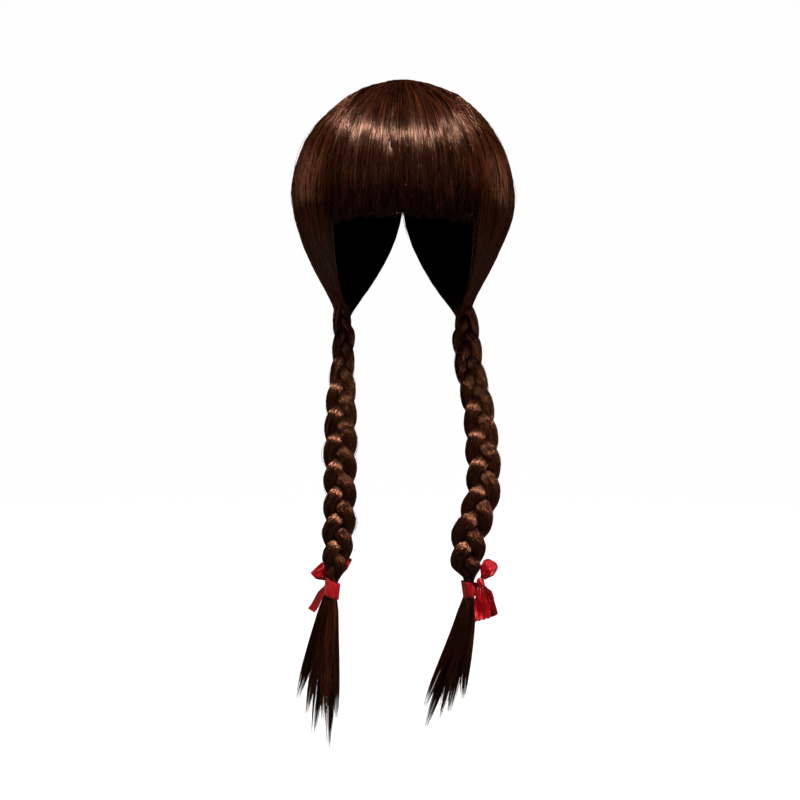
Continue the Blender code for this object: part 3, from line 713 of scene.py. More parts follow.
# %% Lines of a half
ROOT_OUT, ROOT_BACK, ROOT_DEPTH = 0.053, 0.014, 0.184
ROOT_HALF_WIDTH, ROOT_HALF_DEPTH = 0.0125, 0.0115
ROOT_LEAN, LEAN_LENGTH = 0.9, 0.030
SWEEP_FALL, SWEEP_REACH = 0.035, 0.035
INNER_ARC = (138.0, 202.0)
FALLS = (
    (0.00, 130.0, 1.00, 0.45, 0.15, 0.88),
    (0.25, 60.0, 1.00, 0.52, 0.12, 0.85),
    (0.42, 5.0, 1.00, 0.52, 0.00, 0.87),
    (0.70, -75.0, 1.15, 0.25, -0.50, 0.80),
    (1.00, -150.0, 1.30, -0.40, -0.60, 0.70),
)
BRAID_HEIGHT, BRAID_FORWARD, BRAID_SWAY = 0.2225, 0.092, 0.012
BRAID_SWING, BRAID_WEAVE = 0.0066, 0.0036
STRAND_HALF_WIDTH, STRAND_HALF_DEPTH, STRAND_GAP = 0.0074, 0.0060, 0.0004
BRAID_COURSES = {
    "left": (
        (0.00, 0.00, 0.00, 0.72),
        (0.10, 0.12, -0.18, 0.70),
        (0.24, 0.38, -0.12, 0.74),
        (0.34, 0.57, -0.10, 0.92),
        (0.52, 0.82, -0.06, 1.00),
        (0.70, 0.95, -0.08, 0.98),
        (0.88, 1.00, 0.10, 0.92),
        (1.00, 1.01, 0.38, 0.56),
    ),
    "right": (
        (0.00, 0.00, 0.00, 0.80),
        (0.10, 0.12, 0.13, 0.90),
        (0.22, 0.34, 0.28, 0.88),
        (0.36, 0.60, 0.80, 0.95),
        (0.54, 0.84, 1.08, 1.03),
        (0.69, 0.95, 1.02, 1.04),
        (0.84, 1.00, 0.12, 1.08),
        (0.94, 1.01, -0.02, 0.98),
        (1.00, 1.01, 0.10, 0.56),
    ),
}
BRAID_WEAVES = {"left": 3.439, "right": 3.248}
BRAID_PHASES = {"left": math.radians(-38.5), "right": math.radians(15.4)}
COURSE_STEP = 1.0 / 240


def course_points(side, share):
    """The middle of a braid, and its girth, at shares of its drop."""
    rows = smooth_rows(BRAID_COURSES[side], share)
    x = SIDES[side] * (ROOT_OUT + rows[..., 1] * BRAID_SWAY)
    y = ROOT_BACK - rows[..., 0] * BRAID_FORWARD
    z = -ROOT_DEPTH - share * BRAID_HEIGHT
    return np.stack([x, y, z], axis=-1), rows[..., 2]


def course_frames(side, share, length):
    """Middle, across, front and along directions of a braid's sections, and its girth."""
    share = np.asarray(share, float)
    middle, girth = course_points(side, share)
    ahead = course_points(side, np.minimum(share + COURSE_STEP, 1.0))[0]
    behind = course_points(side, np.maximum(share - COURSE_STEP, 0.0))[0]
    lean = ROOT_LEAN * (1.0 - smoothstep(np.asarray(length) / LEAN_LENGTH))
    along = unit(ahead - behind)
    along = unit(along + np.stack([SIDES[side] * lean, lean * 0, lean * 0], axis=-1))
    across = np.zeros_like(along)
    across[..., 0] = 1.0
    across = unit(across - along * along[..., :1])
    front = np.cross(along, across)
    return middle, across, front, along, girth


def root_points(side, angle, shrink=1.0):
    """Points on the rim of a braid's root, or inside it."""
    middle, across, front, along, _ = course_frames(side, np.zeros(1), np.zeros(1))
    turn = np.radians(angle)[..., None]
    return (
        middle[0]
        + across[0] * SIDES[side] * np.cos(turn) * ROOT_HALF_WIDTH * shrink
        + front[0] * np.sin(turn) * ROOT_HALF_DEPTH * shrink
    )


DOME_PART = 0.56
ROOT_TUCK = 0.10
ROOT_SHRINK = 0.80


def half_lines(side, share, way, depth, lift, root_shrink=ROOT_SHRINK):
    """Points of a half: share from the fringe to the centre back, way from whorl to root."""
    turn = FRINGE_TURN + (math.pi - FRINGE_TURN) * share
    mirror = np.array([SIDES[side], 1.0, 1.0])
    on_dome = np.clip(way / DOME_PART, 0.0, 1.0)
    slope = WHORL_SLOPE + (math.pi / 2 - WHORL_SLOPE) * on_dome
    grow = smoothstep(np.sin(slope) * 2.2)
    dome = dome_points(turn, slope, depth, lift * grow) * mirror
    swept = np.clip((way - DOME_PART) / (1.0 - DOME_PART), 0.0, 1.0)[..., None]
    ring = dome_points(turn, np.full_like(slope, math.pi / 2), depth, lift) * mirror
    inside = np.clip(share, 0.0, 1.0)
    rows = smooth_rows(FALLS, inside)
    inner_angle = INNER_ARC[0] + (INNER_ARC[1] - INNER_ARC[0]) * inside
    ring_angle = inner_angle + (rows[..., 0] - inner_angle) * depth
    beyond = np.maximum(way - 1.0, 0.0)[..., None] * ROOT_TUCK
    goal = root_points(side, ring_angle, root_shrink) + np.array([0.0, -0.1, -1.0]) * beyond
    pull = rows[..., 2:5] * np.array([SIDES[side], -1.0, 1.0]) * SWEEP_REACH
    drop = rows[..., 1:2] * np.array([0.0, 0.0, -SWEEP_FALL])
    curve = bezier((ring, ring + drop, goal + pull, goal), swept)
    return np.where((way > DOME_PART)[..., None], curve, dome)


print("left root in mm:", np.round(root_points("left", np.zeros(1))[0] * 1000, 1))

# %% Shell and strands of each half
HALF_STRANDS = 1430
HALF_EDGE = 170
HALF_STATIONS = 16
HALF_STRAYS = 70
HALF_CLUMPS = 38
HALF_WANDER, HALF_WAVE, HALF_STRAY_LIFT = 0.008, 0.0008, 0.0026
HALF_THICKNESS = (0.00026, 0.00050)
HALF_GATHER = 0.35
EDGE_FRONT, EDGE_BACK, EDGE_FRONT_SHARE = 0.004, 0.996, 0.75
ROOT_NARROWING, END_NARROWING = 0.20, 0.30


def make_half(side):
    """One half of the hair, its shell and its strands from the whorl to the root."""
    widths = HALF_LOCKS[side]
    shell = shell_part(partial(half_lines, side), widths, 56, 1.0, (1.7, 1.6), side == "left")

    count = HALF_STRANDS + HALF_EDGE + HALF_STRAYS
    kind = np.repeat([0, 1, 2], [HALF_STRANDS, HALF_EDGE, HALF_STRAYS])
    edge, stray = (kind == 1)[:, None], (kind == 2)[:, None]
    own = rng.uniform(0.0, 1.0, count)
    own = np.where(edge[:, 0], np.where(own < EDGE_FRONT_SHARE, EDGE_FRONT, EDGE_BACK), own)
    start = np.where(edge[:, 0], 0.30 + 0.1 * own, even_starts(count, 0.50))
    finish = np.where(stray[:, 0], rng.uniform(0.55, 0.9, count), rng.uniform(1.04, 1.14, count))
    along = np.linspace(0.0, 1.0, HALF_STATIONS)[None, :]
    way = start[:, None] + (finish - start)[:, None] * along
    lock = np.round(own * HALF_CLUMPS).astype(int)
    clump = lock / HALF_CLUMPS
    pull = np.where(edge, 0.0, HALF_GATHER * np.minimum(way, 1.0) ** 2)
    share = own[:, None] * (1.0 - pull) + clump[:, None] * pull
    share = share + wander(count, HALF_STATIONS, HALF_WANDER) * np.where(edge, 0.1, 1.0)
    lift = lying_lift(widths, share, way, along, lock, HALF_CLUMPS, HALF_WAVE)
    loose = HALF_STRAY_LIFT * along * rng.uniform(0.1, 1.0, (count, 1))
    loose = loose * (1.0 + 0.6 * np.sin(along * 11.0 + rng.uniform(0.0, math.tau, (count, 1))))
    lift = lift + np.where(stray, loose, 0.0)
    depth = np.where(edge, rng.uniform(0.0, 1.0, (count, 1)), 1.0) + np.zeros_like(way)
    tuck = 1.0 - ROOT_NARROWING * smoothstep((way - 0.84) / 0.16)
    tuck = tuck - END_NARROWING * smoothstep((way - 1.0) / 0.12)
    tuck = tuck * (1.0 + rng.uniform(-0.05, 0.04, count)[:, None])
    tuck = tuck * (1.0 + rng.uniform(-0.16, 0.04, HALF_CLUMPS + 1)[lock][:, None])
    paths = half_lines(side, share, way, depth, lift * depth, tuck[..., None])
    turn = (FRINGE_TURN + (math.pi - FRINGE_TURN) * own) * SIDES[side]
    thick = rng.uniform(*HALF_THICKNESS, count) * np.where(stray[:, 0], 0.5, 1.0)
    radii = tapered(thick, HALF_STATIONS, 0.04)
    tones = lock_tones(lock, HALF_CLUMPS + 1, 0.35)
    strands = strand_parts(paths, radii, tones, dome_reference(turn))
    half = join_parts("half_strands_" + side, [shell, (*strands, 0)])
    finishes = hair["side_strand_hair"], hair["crown_lying_hair"]
    dress(half, "hair_" + side, "side_hair", *finishes)


for side in SIDES:
    make_half(side)

# %% [markdown]
# ## Braids
# A braid is three thick strands that swing across its middle one after the other. Each strand
# is a tube whose section is pressed flat where it meets the other two, so no strand cuts
# through another. Low ridges along the tube are its locks, and fine fibres that follow the same
# weave lie on its surface and stand off it here and there.

# %% Section of a braid's strand
CLEARANCE = 0.0003
SOFT_PRESS = 0.00050
BRAID_LENGTH = 0.2489
BRAID_END = 1.02
FIBRE_SLANT = 0.65


def weave(phase, strand):
    """How far a strand has swung across and in front of the middle of its braid."""
    turn = phase + strand * math.tau / 3
    return np.stack([BRAID_SWING * np.sin(turn), BRAID_WEAVE * np.sin(2 * turn)], axis=-1)


def fibre_slant(side, strand, share):
    """How far the fibres of a strand are turned round it where it passes over the others."""
    phase = BRAID_PHASES[side] + math.tau * BRAID_WEAVES[side] * share + strand * math.tau / 3
    return FIBRE_SLANT * np.cos(phase)


def strand_surface(side, strand, share, angle, lift):
    """Points on a strand: shares of the braid's drop, angles round the strand, and lift."""
    phase = BRAID_PHASES[side] + math.tau * BRAID_WEAVES[side] * share
    squeeze = 1.0 - 0.42 * smoothstep((share - 0.94) / 0.07)
    below = np.maximum(share - 1.0, 0.0) * BRAID_HEIGHT
    share = np.minimum(share, 1.0)
    middle, across, front, along, girth = course_frames(side, share, share * BRAID_LENGTH)
    middle = middle + along * below[..., None]
    foot = weave(phase, strand) * girth[..., None]
    direction = np.stack([np.cos(angle), np.sin(angle)], axis=-1)
    flat = np.hypot(direction[..., 0] / STRAND_HALF_WIDTH, direction[..., 1] / STRAND_HALF_DEPTH)
    reach = girth / flat
    press = np.exp(-reach / SOFT_PRESS)
    for other in range(3):
        if other != strand:
            apart = weave(phase, other) * girth[..., None] - foot
            distance = np.linalg.norm(apart, axis=-1)
            towards = (direction * apart).sum(axis=-1) / distance
            room = (distance / 2 - STRAND_GAP / 2) / np.maximum(towards, 0.02)
            press = press + np.where(towards > 0.02, np.exp(-room / SOFT_PRESS), 0.0)
    reach = -np.log(press) * SOFT_PRESS + lift
    place = (foot + direction * reach[..., None]) * squeeze[..., None]
    return middle + across * place[..., :1] + front * place[..., 1:]


braid_top = strand_surface("left", 0, np.zeros(1), np.zeros(1), np.zeros(1))
print("top of the first strand in mm:", np.round(braid_top[0] * 1000, 1))

# %% Strands of the braids
BUNDLE_SIDES = 36
BUNDLE_STATIONS = 180
BRAID_FIBRES = 124
FIBRE_STATIONS = 56
BRAID_STRAYS = 5
BRAID_CLUMPS = 14
BRAID_WANDER = 0.14
BRAID_RIDGES = ((5, 0.00030), (8, 0.00026), (13, 0.00014))
BRAID_THICKNESS = (0.00018, 0.00034)
BRAID_OWN_LIFT, BRAID_STRAY_LIFT = (-0.0003, 0.0001), (0.0008, 0.0022)
BUNDLE_SINK = 0.0004


def make_braid_strand(side, strand):
    """One strand of a braid: its bundle with low ridges, and the fibres that lie on it."""
    share = np.linspace(0.002, BRAID_END, BUNDLE_STATIONS)[:, None]
    angle = np.arange(BUNDLE_SIDES)[None, :] * math.tau / BUNDLE_SIDES
    share_grid, angle_grid = np.broadcast_arrays(share, angle)
    slanted = angle_grid + fibre_slant(side, strand, share_grid)
    ridge = np.zeros_like(share_grid)
    for waves, size in BRAID_RIDGES:
        ridge = ridge + size * np.sin(waves * angle_grid + rng.uniform(0.0, math.tau))
    rings = strand_surface(side, strand, share_grid, slanted, ridge - BUNDLE_SINK)
    around = (angle_grid / math.tau + 0.25) % 1.0
    bundle_uv = np.stack([around * 0.5 + strand, share_grid * 4.0], axis=-1).reshape(-1, 2)
    bundle = (rings.reshape(-1, 3), tube_faces(1, BUNDLE_STATIONS, BUNDLE_SIDES), bundle_uv, 1)

    count = BRAID_FIBRES + BRAID_STRAYS
    begin = rng.uniform(0.0, 0.25, count)[:, None]
    end = rng.uniform(0.90, BRAID_END, count)[:, None]
    along = np.linspace(0.0, 1.0, FIBRE_STATIONS)[None, :]
    way = 0.002 + (begin + (end - begin) * along) * 0.998
    around = rng.uniform(0.0, 1.0, count)
    lock = (around * BRAID_CLUMPS).astype(int)
    around = math.tau * around[:, None] + wander(count, FIBRE_STATIONS, BRAID_WANDER)
    around = around + fibre_slant(side, strand, way)
    lift = rng.uniform(*BRAID_OWN_LIFT, count)[:, None] + np.zeros_like(way)
    lift = lift + rng.uniform(*BRAID_OWN_LIFT, BRAID_CLUMPS)[lock][:, None]
    bow = rng.uniform(*BRAID_STRAY_LIFT, (BRAID_STRAYS, 1))
    lift[BRAID_FIBRES:] += bow * np.abs(np.sin(along * rng.uniform(6.0, 12.0, (BRAID_STRAYS, 1))))
    paths = strand_surface(side, strand, way, around, lift)
    thick = rng.uniform(*BRAID_THICKNESS, count)
    thick[BRAID_FIBRES:] *= 0.6
    radii = tapered(thick, FIBRE_STATIONS, 0.06)
    tones = lock_tones(lock, BRAID_CLUMPS, 0.4)
    fibres = strand_parts(paths, radii, tones)
    name = "braid_" + side + "_lock_" + str(strand + 1)
    piece = join_parts(name, [bundle, (*fibres, 0)])
    finishes = hair["braid_strand_hair"], hair["braid_lying_hair"]
    dress(piece, "braid_" + side + "_strand_" + str(strand + 1), "braid_hair", *finishes)


for side in SIDES:
    for strand in range(3):
        make_braid_strand(side, strand)

# %% [markdown]
# ## Tails
# Below its ribbon the braid's hair hangs loose and parts into a few locks with thin, uneven
# tips. Each lock gets its own fan of strands round one curve. The strands are spread widest
# in the middle of the lock and meet again near its tip.

# %% Strands of the tails
BAND_HEIGHT = 0.0146
TAIL_HEAD_HALF_WIDTH, TAIL_HEAD_HALF_DEPTH = 0.0050, 0.0046
TAIL_HEIGHT, TAIL_SPREAD = 0.122, 0.030
TAIL_LOCK_HALF_WIDTH, TAIL_EASE, TAIL_FLATNESS = 0.0060, 0.55, 0.8
TAIL_LOCKS = {
    "left": (
        (0.50, 0.93, -0.10, 0.68, 0.95),
        (0.25, 0.64, 0.25, 0.76, 0.95),
        (0.10, 0.50, -0.20, 0.92, 1.00),
        (-0.10, 0.22, 0.20, 0.81, 1.00),
        (-0.20, 0.07, -0.05, 1.00, 0.95),
        (-0.40, -0.15, 0.10, 0.80, 0.85),
    ),
    "right": (
        (-0.55, -1.26, 0.10, 0.73, 0.85),
        (-0.40, -1.20, -0.15, 0.87, 0.90),
        (-0.30, -0.84, 0.20, 0.79, 1.00),
        (-0.10, -0.58, -0.10, 0.77, 1.00),
        (0.05, -0.22, 0.05, 0.68, 0.90),
    ),
}
LIGHT_LOCK = {"left": 3, "right": -1}
TAIL_STRANDS = 115
TAIL_STATIONS = 13
TAIL_WANDER, TAIL_THICKNESS = 0.3, (0.00024, 0.00044)
TAIL_LONGEST, TAIL_UNEVEN = 1.03, 0.40


def tie_frame(side):
    """Middle, across, front and along directions at the top of a ribbon band."""
    frames = course_frames(side, np.ones(1), np.full(1, BRAID_HEIGHT))
    return [part[0] for part in frames[:4]]


def make_tail(side):
    """The loose hair below a ribbon: a fan of strands for each lock."""
    middle, across, front, along_way = tie_frame(side)
    out = across * SIDES[side]
    parts = []
    for index, (start_share, tip_out, tip_front, length, girth) in enumerate(TAIL_LOCKS[side]):
        count = TAIL_STRANDS
        start = middle + along_way * BAND_HEIGHT * 0.6 + out * start_share * TAIL_HEAD_HALF_WIDTH
        start = start + front * tip_front * TAIL_HEAD_HALF_DEPTH
        tip = middle + along_way * BAND_HEIGHT
        tip = tip + np.array([SIDES[side] * tip_out, -tip_front, 0.0]) * TAIL_SPREAD
        tip[2] = middle[2] - BAND_HEIGHT - length * TAIL_HEIGHT
        straight = start + along_way * length * TAIL_HEIGHT
        controls = [
            start,
            start + (straight + (tip - straight) * TAIL_EASE - start) / 3,
            start + (tip - start) * 2 / 3,
            tip,
        ]
        reach = TAIL_LONGEST - TAIL_UNEVEN * rng.uniform(0.0, 1.0, count)[:, None] ** 1.3
        share = np.linspace(0.0, 1.0, TAIL_STATIONS)[None, :] * reach
        rest = 1.0 - share
        line = bezier(controls, share[..., None])
        turn = rng.uniform(0.0, math.tau, count)[:, None]
        turn = turn + wander(count, TAIL_STATIONS, TAIL_WANDER)
        radius = np.sqrt(rng.uniform(0.0, 1.0, count))[:, None]
        spread = (0.72 + share) * np.clip(rest, 0.0, 1.0) ** 0.8 + 0.06 + 0.24 * share
        spread = np.minimum(spread, 0.34 + 3.2 * share)
        half = TAIL_LOCK_HALF_WIDTH * girth * radius * spread
        line = line + across * (half * np.cos(turn))[..., None]
        line = line + front * (half * np.sin(turn) * TAIL_FLATNESS)[..., None]
        radii = tapered(rng.uniform(*TAIL_THICKNESS, count), TAIL_STATIONS, 0.25)
        tones = np.clip(rng.normal(rng.uniform(0.2, 0.8), 0.18, count), 0.0, 1.0)
        parts.append((*strand_parts(line, radii, tones), int(index == LIGHT_LOCK[side])))
    tail = join_parts("tail_strands_" + side, parts)
    finishes = hair["tail_strand_hair"], hair["tail_light_hair"]
    dress(tail, "tail_" + side, "tail_hair", *finishes)


for side in SIDES:
    make_tail(side)

# %% [markdown]
# ## Satin finish
# Satin ribbon is woven so that its threads float along its length. It is bright where it faces
# the light and deep red in the folds, and its gloss is drawn out across the threads. A strip
# keeps the flat grid's UV map, in which the length runs along V, so fine noise stretched along V
# gives the threads, and a coarse one the soft dents of handled ribbon.

# %% Red satin


def satin_group():
    """Colour, roughness and height of satin from the map of a strip."""
    sockets = {"Threads": "Float", "Deep": "Color", "Bright": "Color"}
    group, given, result = new_group("satin_threads", sockets, TONE_OUTPUTS)
    strip_map = add_node(group, "UVMap", uv_map="UVMap")
    split = add_node(group, "SeparateXYZ", {0: strip_map.outputs["UV"]})
    place = add_node(group, "CombineXYZ", {
        "X": combine(group, "MULTIPLY", split.outputs["X"], given["Threads"]),
        "Y": split.outputs["Y"],
    })
    inputs = {"Vector": place.outputs[0], "Scale": 1.0, "Detail": 3.0}
    threads = add_node(group, "TexNoise", inputs).outputs["Fac"]
    spots = add_node(group, "TexCoord")
    inputs = {"Vector": spots.outputs["Object"], "Scale": 320.0, "Detail": 2.0}
    dents = add_node(group, "TexNoise", inputs).outputs["Fac"]
    limits = {"Value": threads, "From Min": 0.32, "From Max": 0.68}
    spread = add_node(group, "MapRange", limits)
    inputs = {"Factor": spread.outputs[0], "A": given["Deep"], "B": given["Bright"]}
    mix = add_node(group, "Mix", inputs, data_type="RGBA")
    rough = add_node(group, "MapRange", {"Value": threads, "To Min": 0.22, "To Max": 0.36})
    height = add_node(group, "Math", {0: threads, 1: 0.25, 2: dents}, operation="MULTIPLY_ADD")
    feed(result, {
        "Colour": mix.outputs["Result"],
        "Roughness": rough.outputs[0],
        "Height": height.outputs[0],
    })
    return group


SATIN_THREADS = satin_group()


def satin_material(name, deep, bright, threads, gloss):
    """Red satin, deep in its folds and bright on them."""
    material, shader = new_material(name, {
        "Specular IOR Level": gloss,
        "Specular Tint": (1.0, 0.12, 0.13, 1.0),
        "Sheen Weight": 0.04,
        "Sheen Tint": (1.0, 0.25, 0.25, 1.0),
    })
    tree = material.node_tree
    cloth = add_node(tree, "Group", {
        "Threads": threads, "Deep": (*deep, 1.0), "Bright": (*bright, 1.0)
    }, node_tree=SATIN_THREADS).outputs
    feed(shader, {"Base Color": cloth["Colour"], "Roughness": cloth["Roughness"]})
    draw_out_gloss(tree, shader, "UVMap", 0.85, cloth["Height"], 0.6, 0.0002)
    return material


ribbon_satin = satin_material(
    "ribbon_satin", (0.100, 0.0009, 0.0025), (0.180, 0.0018, 0.0046), 90.0, 0.40
)
band_satin = satin_material(
    "band_satin", (0.120, 0.0010, 0.0030), (0.210, 0.0026, 0.0060), 60.0, 0.85
)
print("satin finishes:", ribbon_satin.name, band_satin.name)

# %% [markdown]
# ## Bows
# Each bow is the same ribbon all through: one turn round the braid, a knot, loops and cut ends.
# A strip starts as a flat grid of its real cut size, and its points are then laid along the
# course of the fold, as fingers would lay them. Next to the knot a wide ribbon has to become
# narrow, so it is pressed into pleats there, which open again further out. A Solidify modifier
# gives the thickness of the cloth. Cloth simulation would give softer folds, but it would not
# hold these small, stiff loops in the places of the solids.

# %% Sizes of the bows
BAND_WALL = 0.001
RIBBON_WIDTH, RIBBON_WALL, RIBBON_GATHER, RIBBON_LENGTH = 0.0132, 0.001, 0.005, 0.0270
RIBBON_CROWN, RIBBON_OPENING, END_WAVE, LOOP_OPEN = 0.0006, 1.6, 0.0012, 0.007
KNOT_HALF_HEIGHT, KNOT_HALF_WIDTH, KNOT_HALF_DEPTH = 0.0046, 0.0038, 0.0032
KNOT_LEVEL = 0.20
KNOT_SIDES = {"left": (0.25, -1.0), "right": (0.93, 0.36)}
BOW_PIECES = {
    "left": (
        ("loop_outer", (0.80, -0.25, 0.60), (0.10, 1.0, 0.30), 0.474, 0.0),
        ("loop_inner", (-0.38, -0.25, 0.92), (0.05, 1.0, 0.25), 0.759, 0.0),
        ("end_outer", (0.43, -0.08, -0.92), (0.75, 0.40, 0.50), 0.907, 0.25),
        ("end_inner", (0.02, -0.20, -0.98), (0.45, 0.90, -0.20), 0.741, -0.7),
    ),
    "right": (
        ("loop_upper", (0.60, -0.25, 0.80), (0.05, 1.0, 0.30), 0.611, 0.0),
        ("loop_lower", (0.17, -0.06, -0.96), (0.05, 1.0, 0.0), 0.926, -0.1),
        ("end_lower", (-0.06, 0.28, -1.0), (0.05, 1.0, 0.28), 1.000, 0.62),
        ("end_back", (0.18, -0.50, -0.85), (0.10, 0.80, -0.50), 0.778, -1.2),
    ),
}
SATIN_THICKNESS = 0.0004
PLEAT_HEIGHT = 0.0009
PLEATS = 3
PLEAT_FADE, DENT_HEIGHT, RIPPLE_HEIGHT = 0.82, 0.0009, 0.0005
CUT_ZIGZAG, CUT_SLANT = 0.035, 0.05
RIBBON_COLUMNS, LOOP_ROWS, END_ROWS = 28, 44, 30
LOOP_ROUNDING = {("right", "loop_upper"): 0.20, ("right", "loop_lower"): 0.06}
FOLD_SOFTNESS = {"left": 0.40, "right": 1.0}
OPENING_SPEED = {
    ("left", "end_outer"): 2.6, ("right", "loop_lower"): 2.1, ("right", "end_lower"): 2.1
}


def knot_frame(side):
    """Middle of a knot beside its band, with the outward, front and up directions."""
    middle, across, front, along = tie_frame(side)
    out = across * SIDES[side]
    way = unit(out * KNOT_SIDES[side][0] + front * KNOT_SIDES[side][1])
    width = TAIL_HEAD_HALF_WIDTH + CLEARANCE + BAND_WALL
    depth = TAIL_HEAD_HALF_DEPTH + CLEARANCE + BAND_WALL
    reach = 1.0 / math.hypot(way @ out / width, way @ front / depth)
    here = middle + along * BAND_HEIGHT * KNOT_LEVEL
    here = here + way * (reach + CLEARANCE + KNOT_HALF_DEPTH)
    return here, way, out, front, -along


def points_of(thing):
    """The points of an object's mesh as an array."""
    places = np.zeros(len(thing.data.vertices) * 3)
    thing.data.vertices.foreach_get("co", places)
    return places.reshape(-1, 3)


def move_points(thing, places):
    """Put the points of an object's mesh at their places."""
    thing.data.vertices.foreach_set("co", places.ravel())
    thing.data.update()


def flat_strip(name, width, length, columns, rows):
    """A flat strip of ribbon as it is cut, and the shares across and along of its points."""
    bpy.ops.mesh.primitive_grid_add(x_subdivisions=columns, y_subdivisions=rows, size=1.0)
    strip = bpy.context.object
    strip.name = name
    strip.data.name = name
    strip.scale = (width, length, 1.0)
    bpy.ops.object.transform_apply(location=False, rotation=False, scale=True)
    flat = points_of(strip)
    return strip, flat[:, 0] / width * 2.0, flat[:, 1] / length + 0.5


def lay_strip(strip, places, node, satin):
    """Lay a strip's points at their places and give it the thickness of the cloth."""
    move_points(strip, places)
    wall = strip.modifiers.new("cloth", "SOLIDIFY")
    wall.thickness = SATIN_THICKNESS
    wall.offset = 0.0
    bpy.ops.object.modifier_apply(modifier="cloth")
    bpy.ops.object.shade_smooth()
    dress(strip, node, "ribbon", satin)
    strip.select_set(False)


print("knots in mm:", [np.round(knot_frame(side)[0] * 1000, 1).tolist() for side in SIDES])

# %% Loops and ends


def make_ribbon(side, piece):
    """A loop or a cut end of a bow, pleated at the knot and full width further out."""
    label, way, face, length_share, layer = piece
    length = length_share * RIBBON_LENGTH
    here, outward, out, front, up = knot_frame(side)
    way = unit(out * way[0] + front * way[1] + up * way[2])
    face = out * face[0] + front * face[1] + up * face[2]
    face = unit(face - way * (face @ way))
    across = np.cross(way, face)
    leave = unit(way + face * layer)
    sideways = unit(np.cross(outward, up))
    reach = math.hypot(
        leave @ outward * KNOT_HALF_DEPTH,
        leave @ sideways * KNOT_HALF_WIDTH,
        leave @ up * KNOT_HALF_HEIGHT,
    )
    start = here + leave * (reach + CLEARANCE + RIBBON_WALL / 2 * abs(face @ leave))
    is_loop = label.startswith("loop")
    flat_length = length * 2.0 + LOOP_OPEN * 0.6 if is_loop else length
    name = "bow_" + side + "_" + label
    rows = LOOP_ROWS if is_loop else END_ROWS
    strip, column, share = flat_strip(name, RIBBON_WIDTH, flat_length, RIBBON_COLUMNS, rows)
    if is_loop:
        turn = math.tau * share
        along_way = (1.0 - np.cos(turn)) / 2
        lift = LOOP_OPEN / 2 * np.sin(turn) + (RIBBON_WALL / 2 + CLEARANCE) * np.cos(turn / 2)
    else:
        along_way = share
        lift = END_WAVE * FOLD_SOFTNESS[side] * np.sin(math.tau * share)
    opened = smoothstep(along_way * OPENING_SPEED.get((side, label), RIBBON_OPENING))
    half = RIBBON_GATHER / 2 + (RIBBON_WIDTH - RIBBON_GATHER) / 2 * opened
    phase = rng.uniform(0.0, math.tau)
    pleat = np.cos(column * math.pi * PLEATS + phase) * PLEAT_HEIGHT
    pleat = pleat * (1.0 - PLEAT_FADE * smoothstep(along_way * 1.25)) * FOLD_SOFTNESS[side]
    soft = DENT_HEIGHT * np.sin(column * 2.1 + phase) * opened
    soft = soft + RIPPLE_HEIGHT * np.sin(along_way * 9.0 + column * 3.0 + phase) * opened
    soft = soft * FOLD_SOFTNESS[side]
    crown = RIBBON_CROWN * (1.0 - column * column)
    zigzag = np.abs((column * 3.5 + phase) % 2.0 - 1.0)
    cut = 0.0 if is_loop else CUT_ZIGZAG * zigzag * share**6
    slant = 0.0 if is_loop else CUT_SLANT * column * share**4
    rounded = 1.0 - LOOP_ROUNDING.get((side, label), 0.0) * column**4
    places = (
        start
        + way * (length * (along_way * rounded - cut + slant))[:, None]
        + face * (lift + crown + pleat + soft)[:, None]
        + across * (half * column)[:, None]
    )
    lay_strip(strip, places, "ribbon_" + side + "_" + label, ribbon_satin)
    return strip, flat_length


bows = {side: [make_ribbon(side, piece) for piece in BOW_PIECES[side]] for side in SIDES}
lengths = [round(size * 1000, 1) for side in SIDES for _, size in bows[side]]
print("cut lengths of the loops and ends in mm:", lengths)

# %% Turns of ribbon round the braids
BAND_OVERLAP = 0.12
BAND_TILT = {"left": 0.0016, "right": 0.0006}
BAND_CREASE = {"left": 1.60, "right": 1.80}
BAND_PINCH = {"left": 0.05, "right": 0.16}
CREASE_HEIGHT, CREASE_WIDTH = 0.0009, 0.18
BAND_COLUMNS, BAND_ROWS = 14, 72


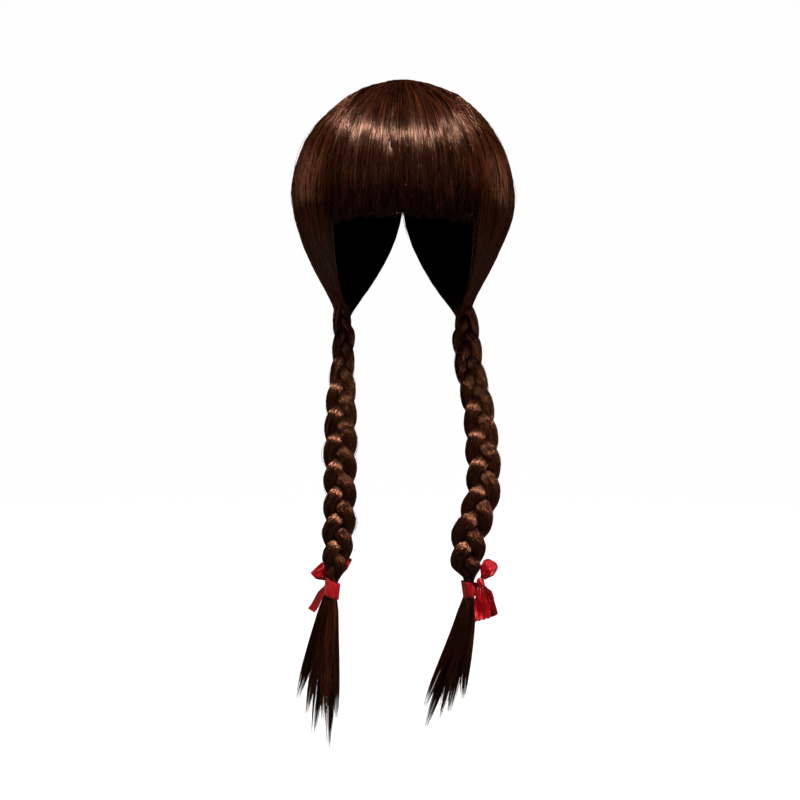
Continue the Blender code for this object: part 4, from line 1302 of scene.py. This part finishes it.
def make_band(side):
    """One turn of ribbon rolled round the end of a braid, with its ends overlapped at the back."""
    middle, across, front, along = tie_frame(side)
    girth = math.tau * (TAIL_HEAD_HALF_WIDTH + TAIL_HEAD_HALF_DEPTH) / 2
    around_size = girth * (1.0 + BAND_OVERLAP)
    name = "bow_" + side + "_turn"
    strip, column, share = flat_strip(name, BAND_HEIGHT, around_size, BAND_COLUMNS, BAND_ROWS)
    angle = math.pi / 2 + math.tau * (1.0 + BAND_OVERLAP) * (share - 0.5)
    wall = CLEARANCE + BAND_WALL * (0.35 + 0.55 * share)
    fold = np.exp(-(((angle + 0.22 * column - BAND_CREASE[side]) / CREASE_WIDTH) ** 2))
    wall = wall + CREASE_HEIGHT * fold + 0.00022 * np.sin(angle * 9.0 + column * 1.2)
    wall = wall + 0.0003 * np.sin(angle * 4.0 + 1.0)
    height = BAND_HEIGHT / 2 * (1.0 - BAND_PINCH[side] * (1.0 + np.cos(angle)))
    level = BAND_HEIGHT / 2 + height * column + BAND_TILT[side] * np.cos(angle)
    places = (
        middle
        + across * ((TAIL_HEAD_HALF_WIDTH + wall) * np.cos(angle))[:, None]
        + front * ((TAIL_HEAD_HALF_DEPTH + wall) * np.sin(angle))[:, None]
        + along * level[:, None]
    )
    lay_strip(strip, places, "ribbon_" + side + "_band", band_satin)
    return strip, around_size


bands = {side: make_band(side) for side in SIDES}
print("turns of ribbon:", [strip.name for strip, _ in bands.values()])

# %% Knots
KNOT_SQUARENESS, KNOT_FOLD, KNOT_WAIST, KNOT_SLIMMING = 0.85, 0.09, 0.06, 0.92


def make_knot(side):
    """A knot: a ball pressed to a small cushion, with the folds of the ribbon that wraps it."""
    here, way, _, _, up = knot_frame(side)
    sideways = unit(np.cross(way, up))
    bpy.ops.mesh.primitive_uv_sphere_add(segments=48, ring_count=24, radius=1.0)
    knot = bpy.context.object
    knot.name = "bow_" + side + "_knot"
    knot.data.name = knot.name
    ball = points_of(knot)
    ball = np.sign(ball) * np.abs(ball) ** KNOT_SQUARENESS
    wave = np.sin(ball[:, 0] * 6.0 + ball[:, 2] * 4.5 + 0.6)
    fold = 1.0 + KNOT_FOLD * wave * (1.0 - ball[:, 2] ** 2)
    waist = 1.0 + KNOT_WAIST * np.cos(ball[:, 2] * math.pi)
    places = (
        here
        + sideways * (ball[:, 0] * KNOT_HALF_WIDTH * KNOT_SLIMMING * waist)[:, None]
        + way * (ball[:, 1] * KNOT_HALF_DEPTH * fold)[:, None]
        + up * (ball[:, 2] * KNOT_HALF_HEIGHT)[:, None]
    )
    move_points(knot, places)
    bpy.ops.object.shade_smooth()
    dress(knot, "ribbon_" + side + "_knot", "ribbon", band_satin)
    knot.select_set(False)
    return knot


knots = {side: make_knot(side) for side in SIDES}

print("sheets:", sum(len(strips) for strips in bows.values()) + len(bands))
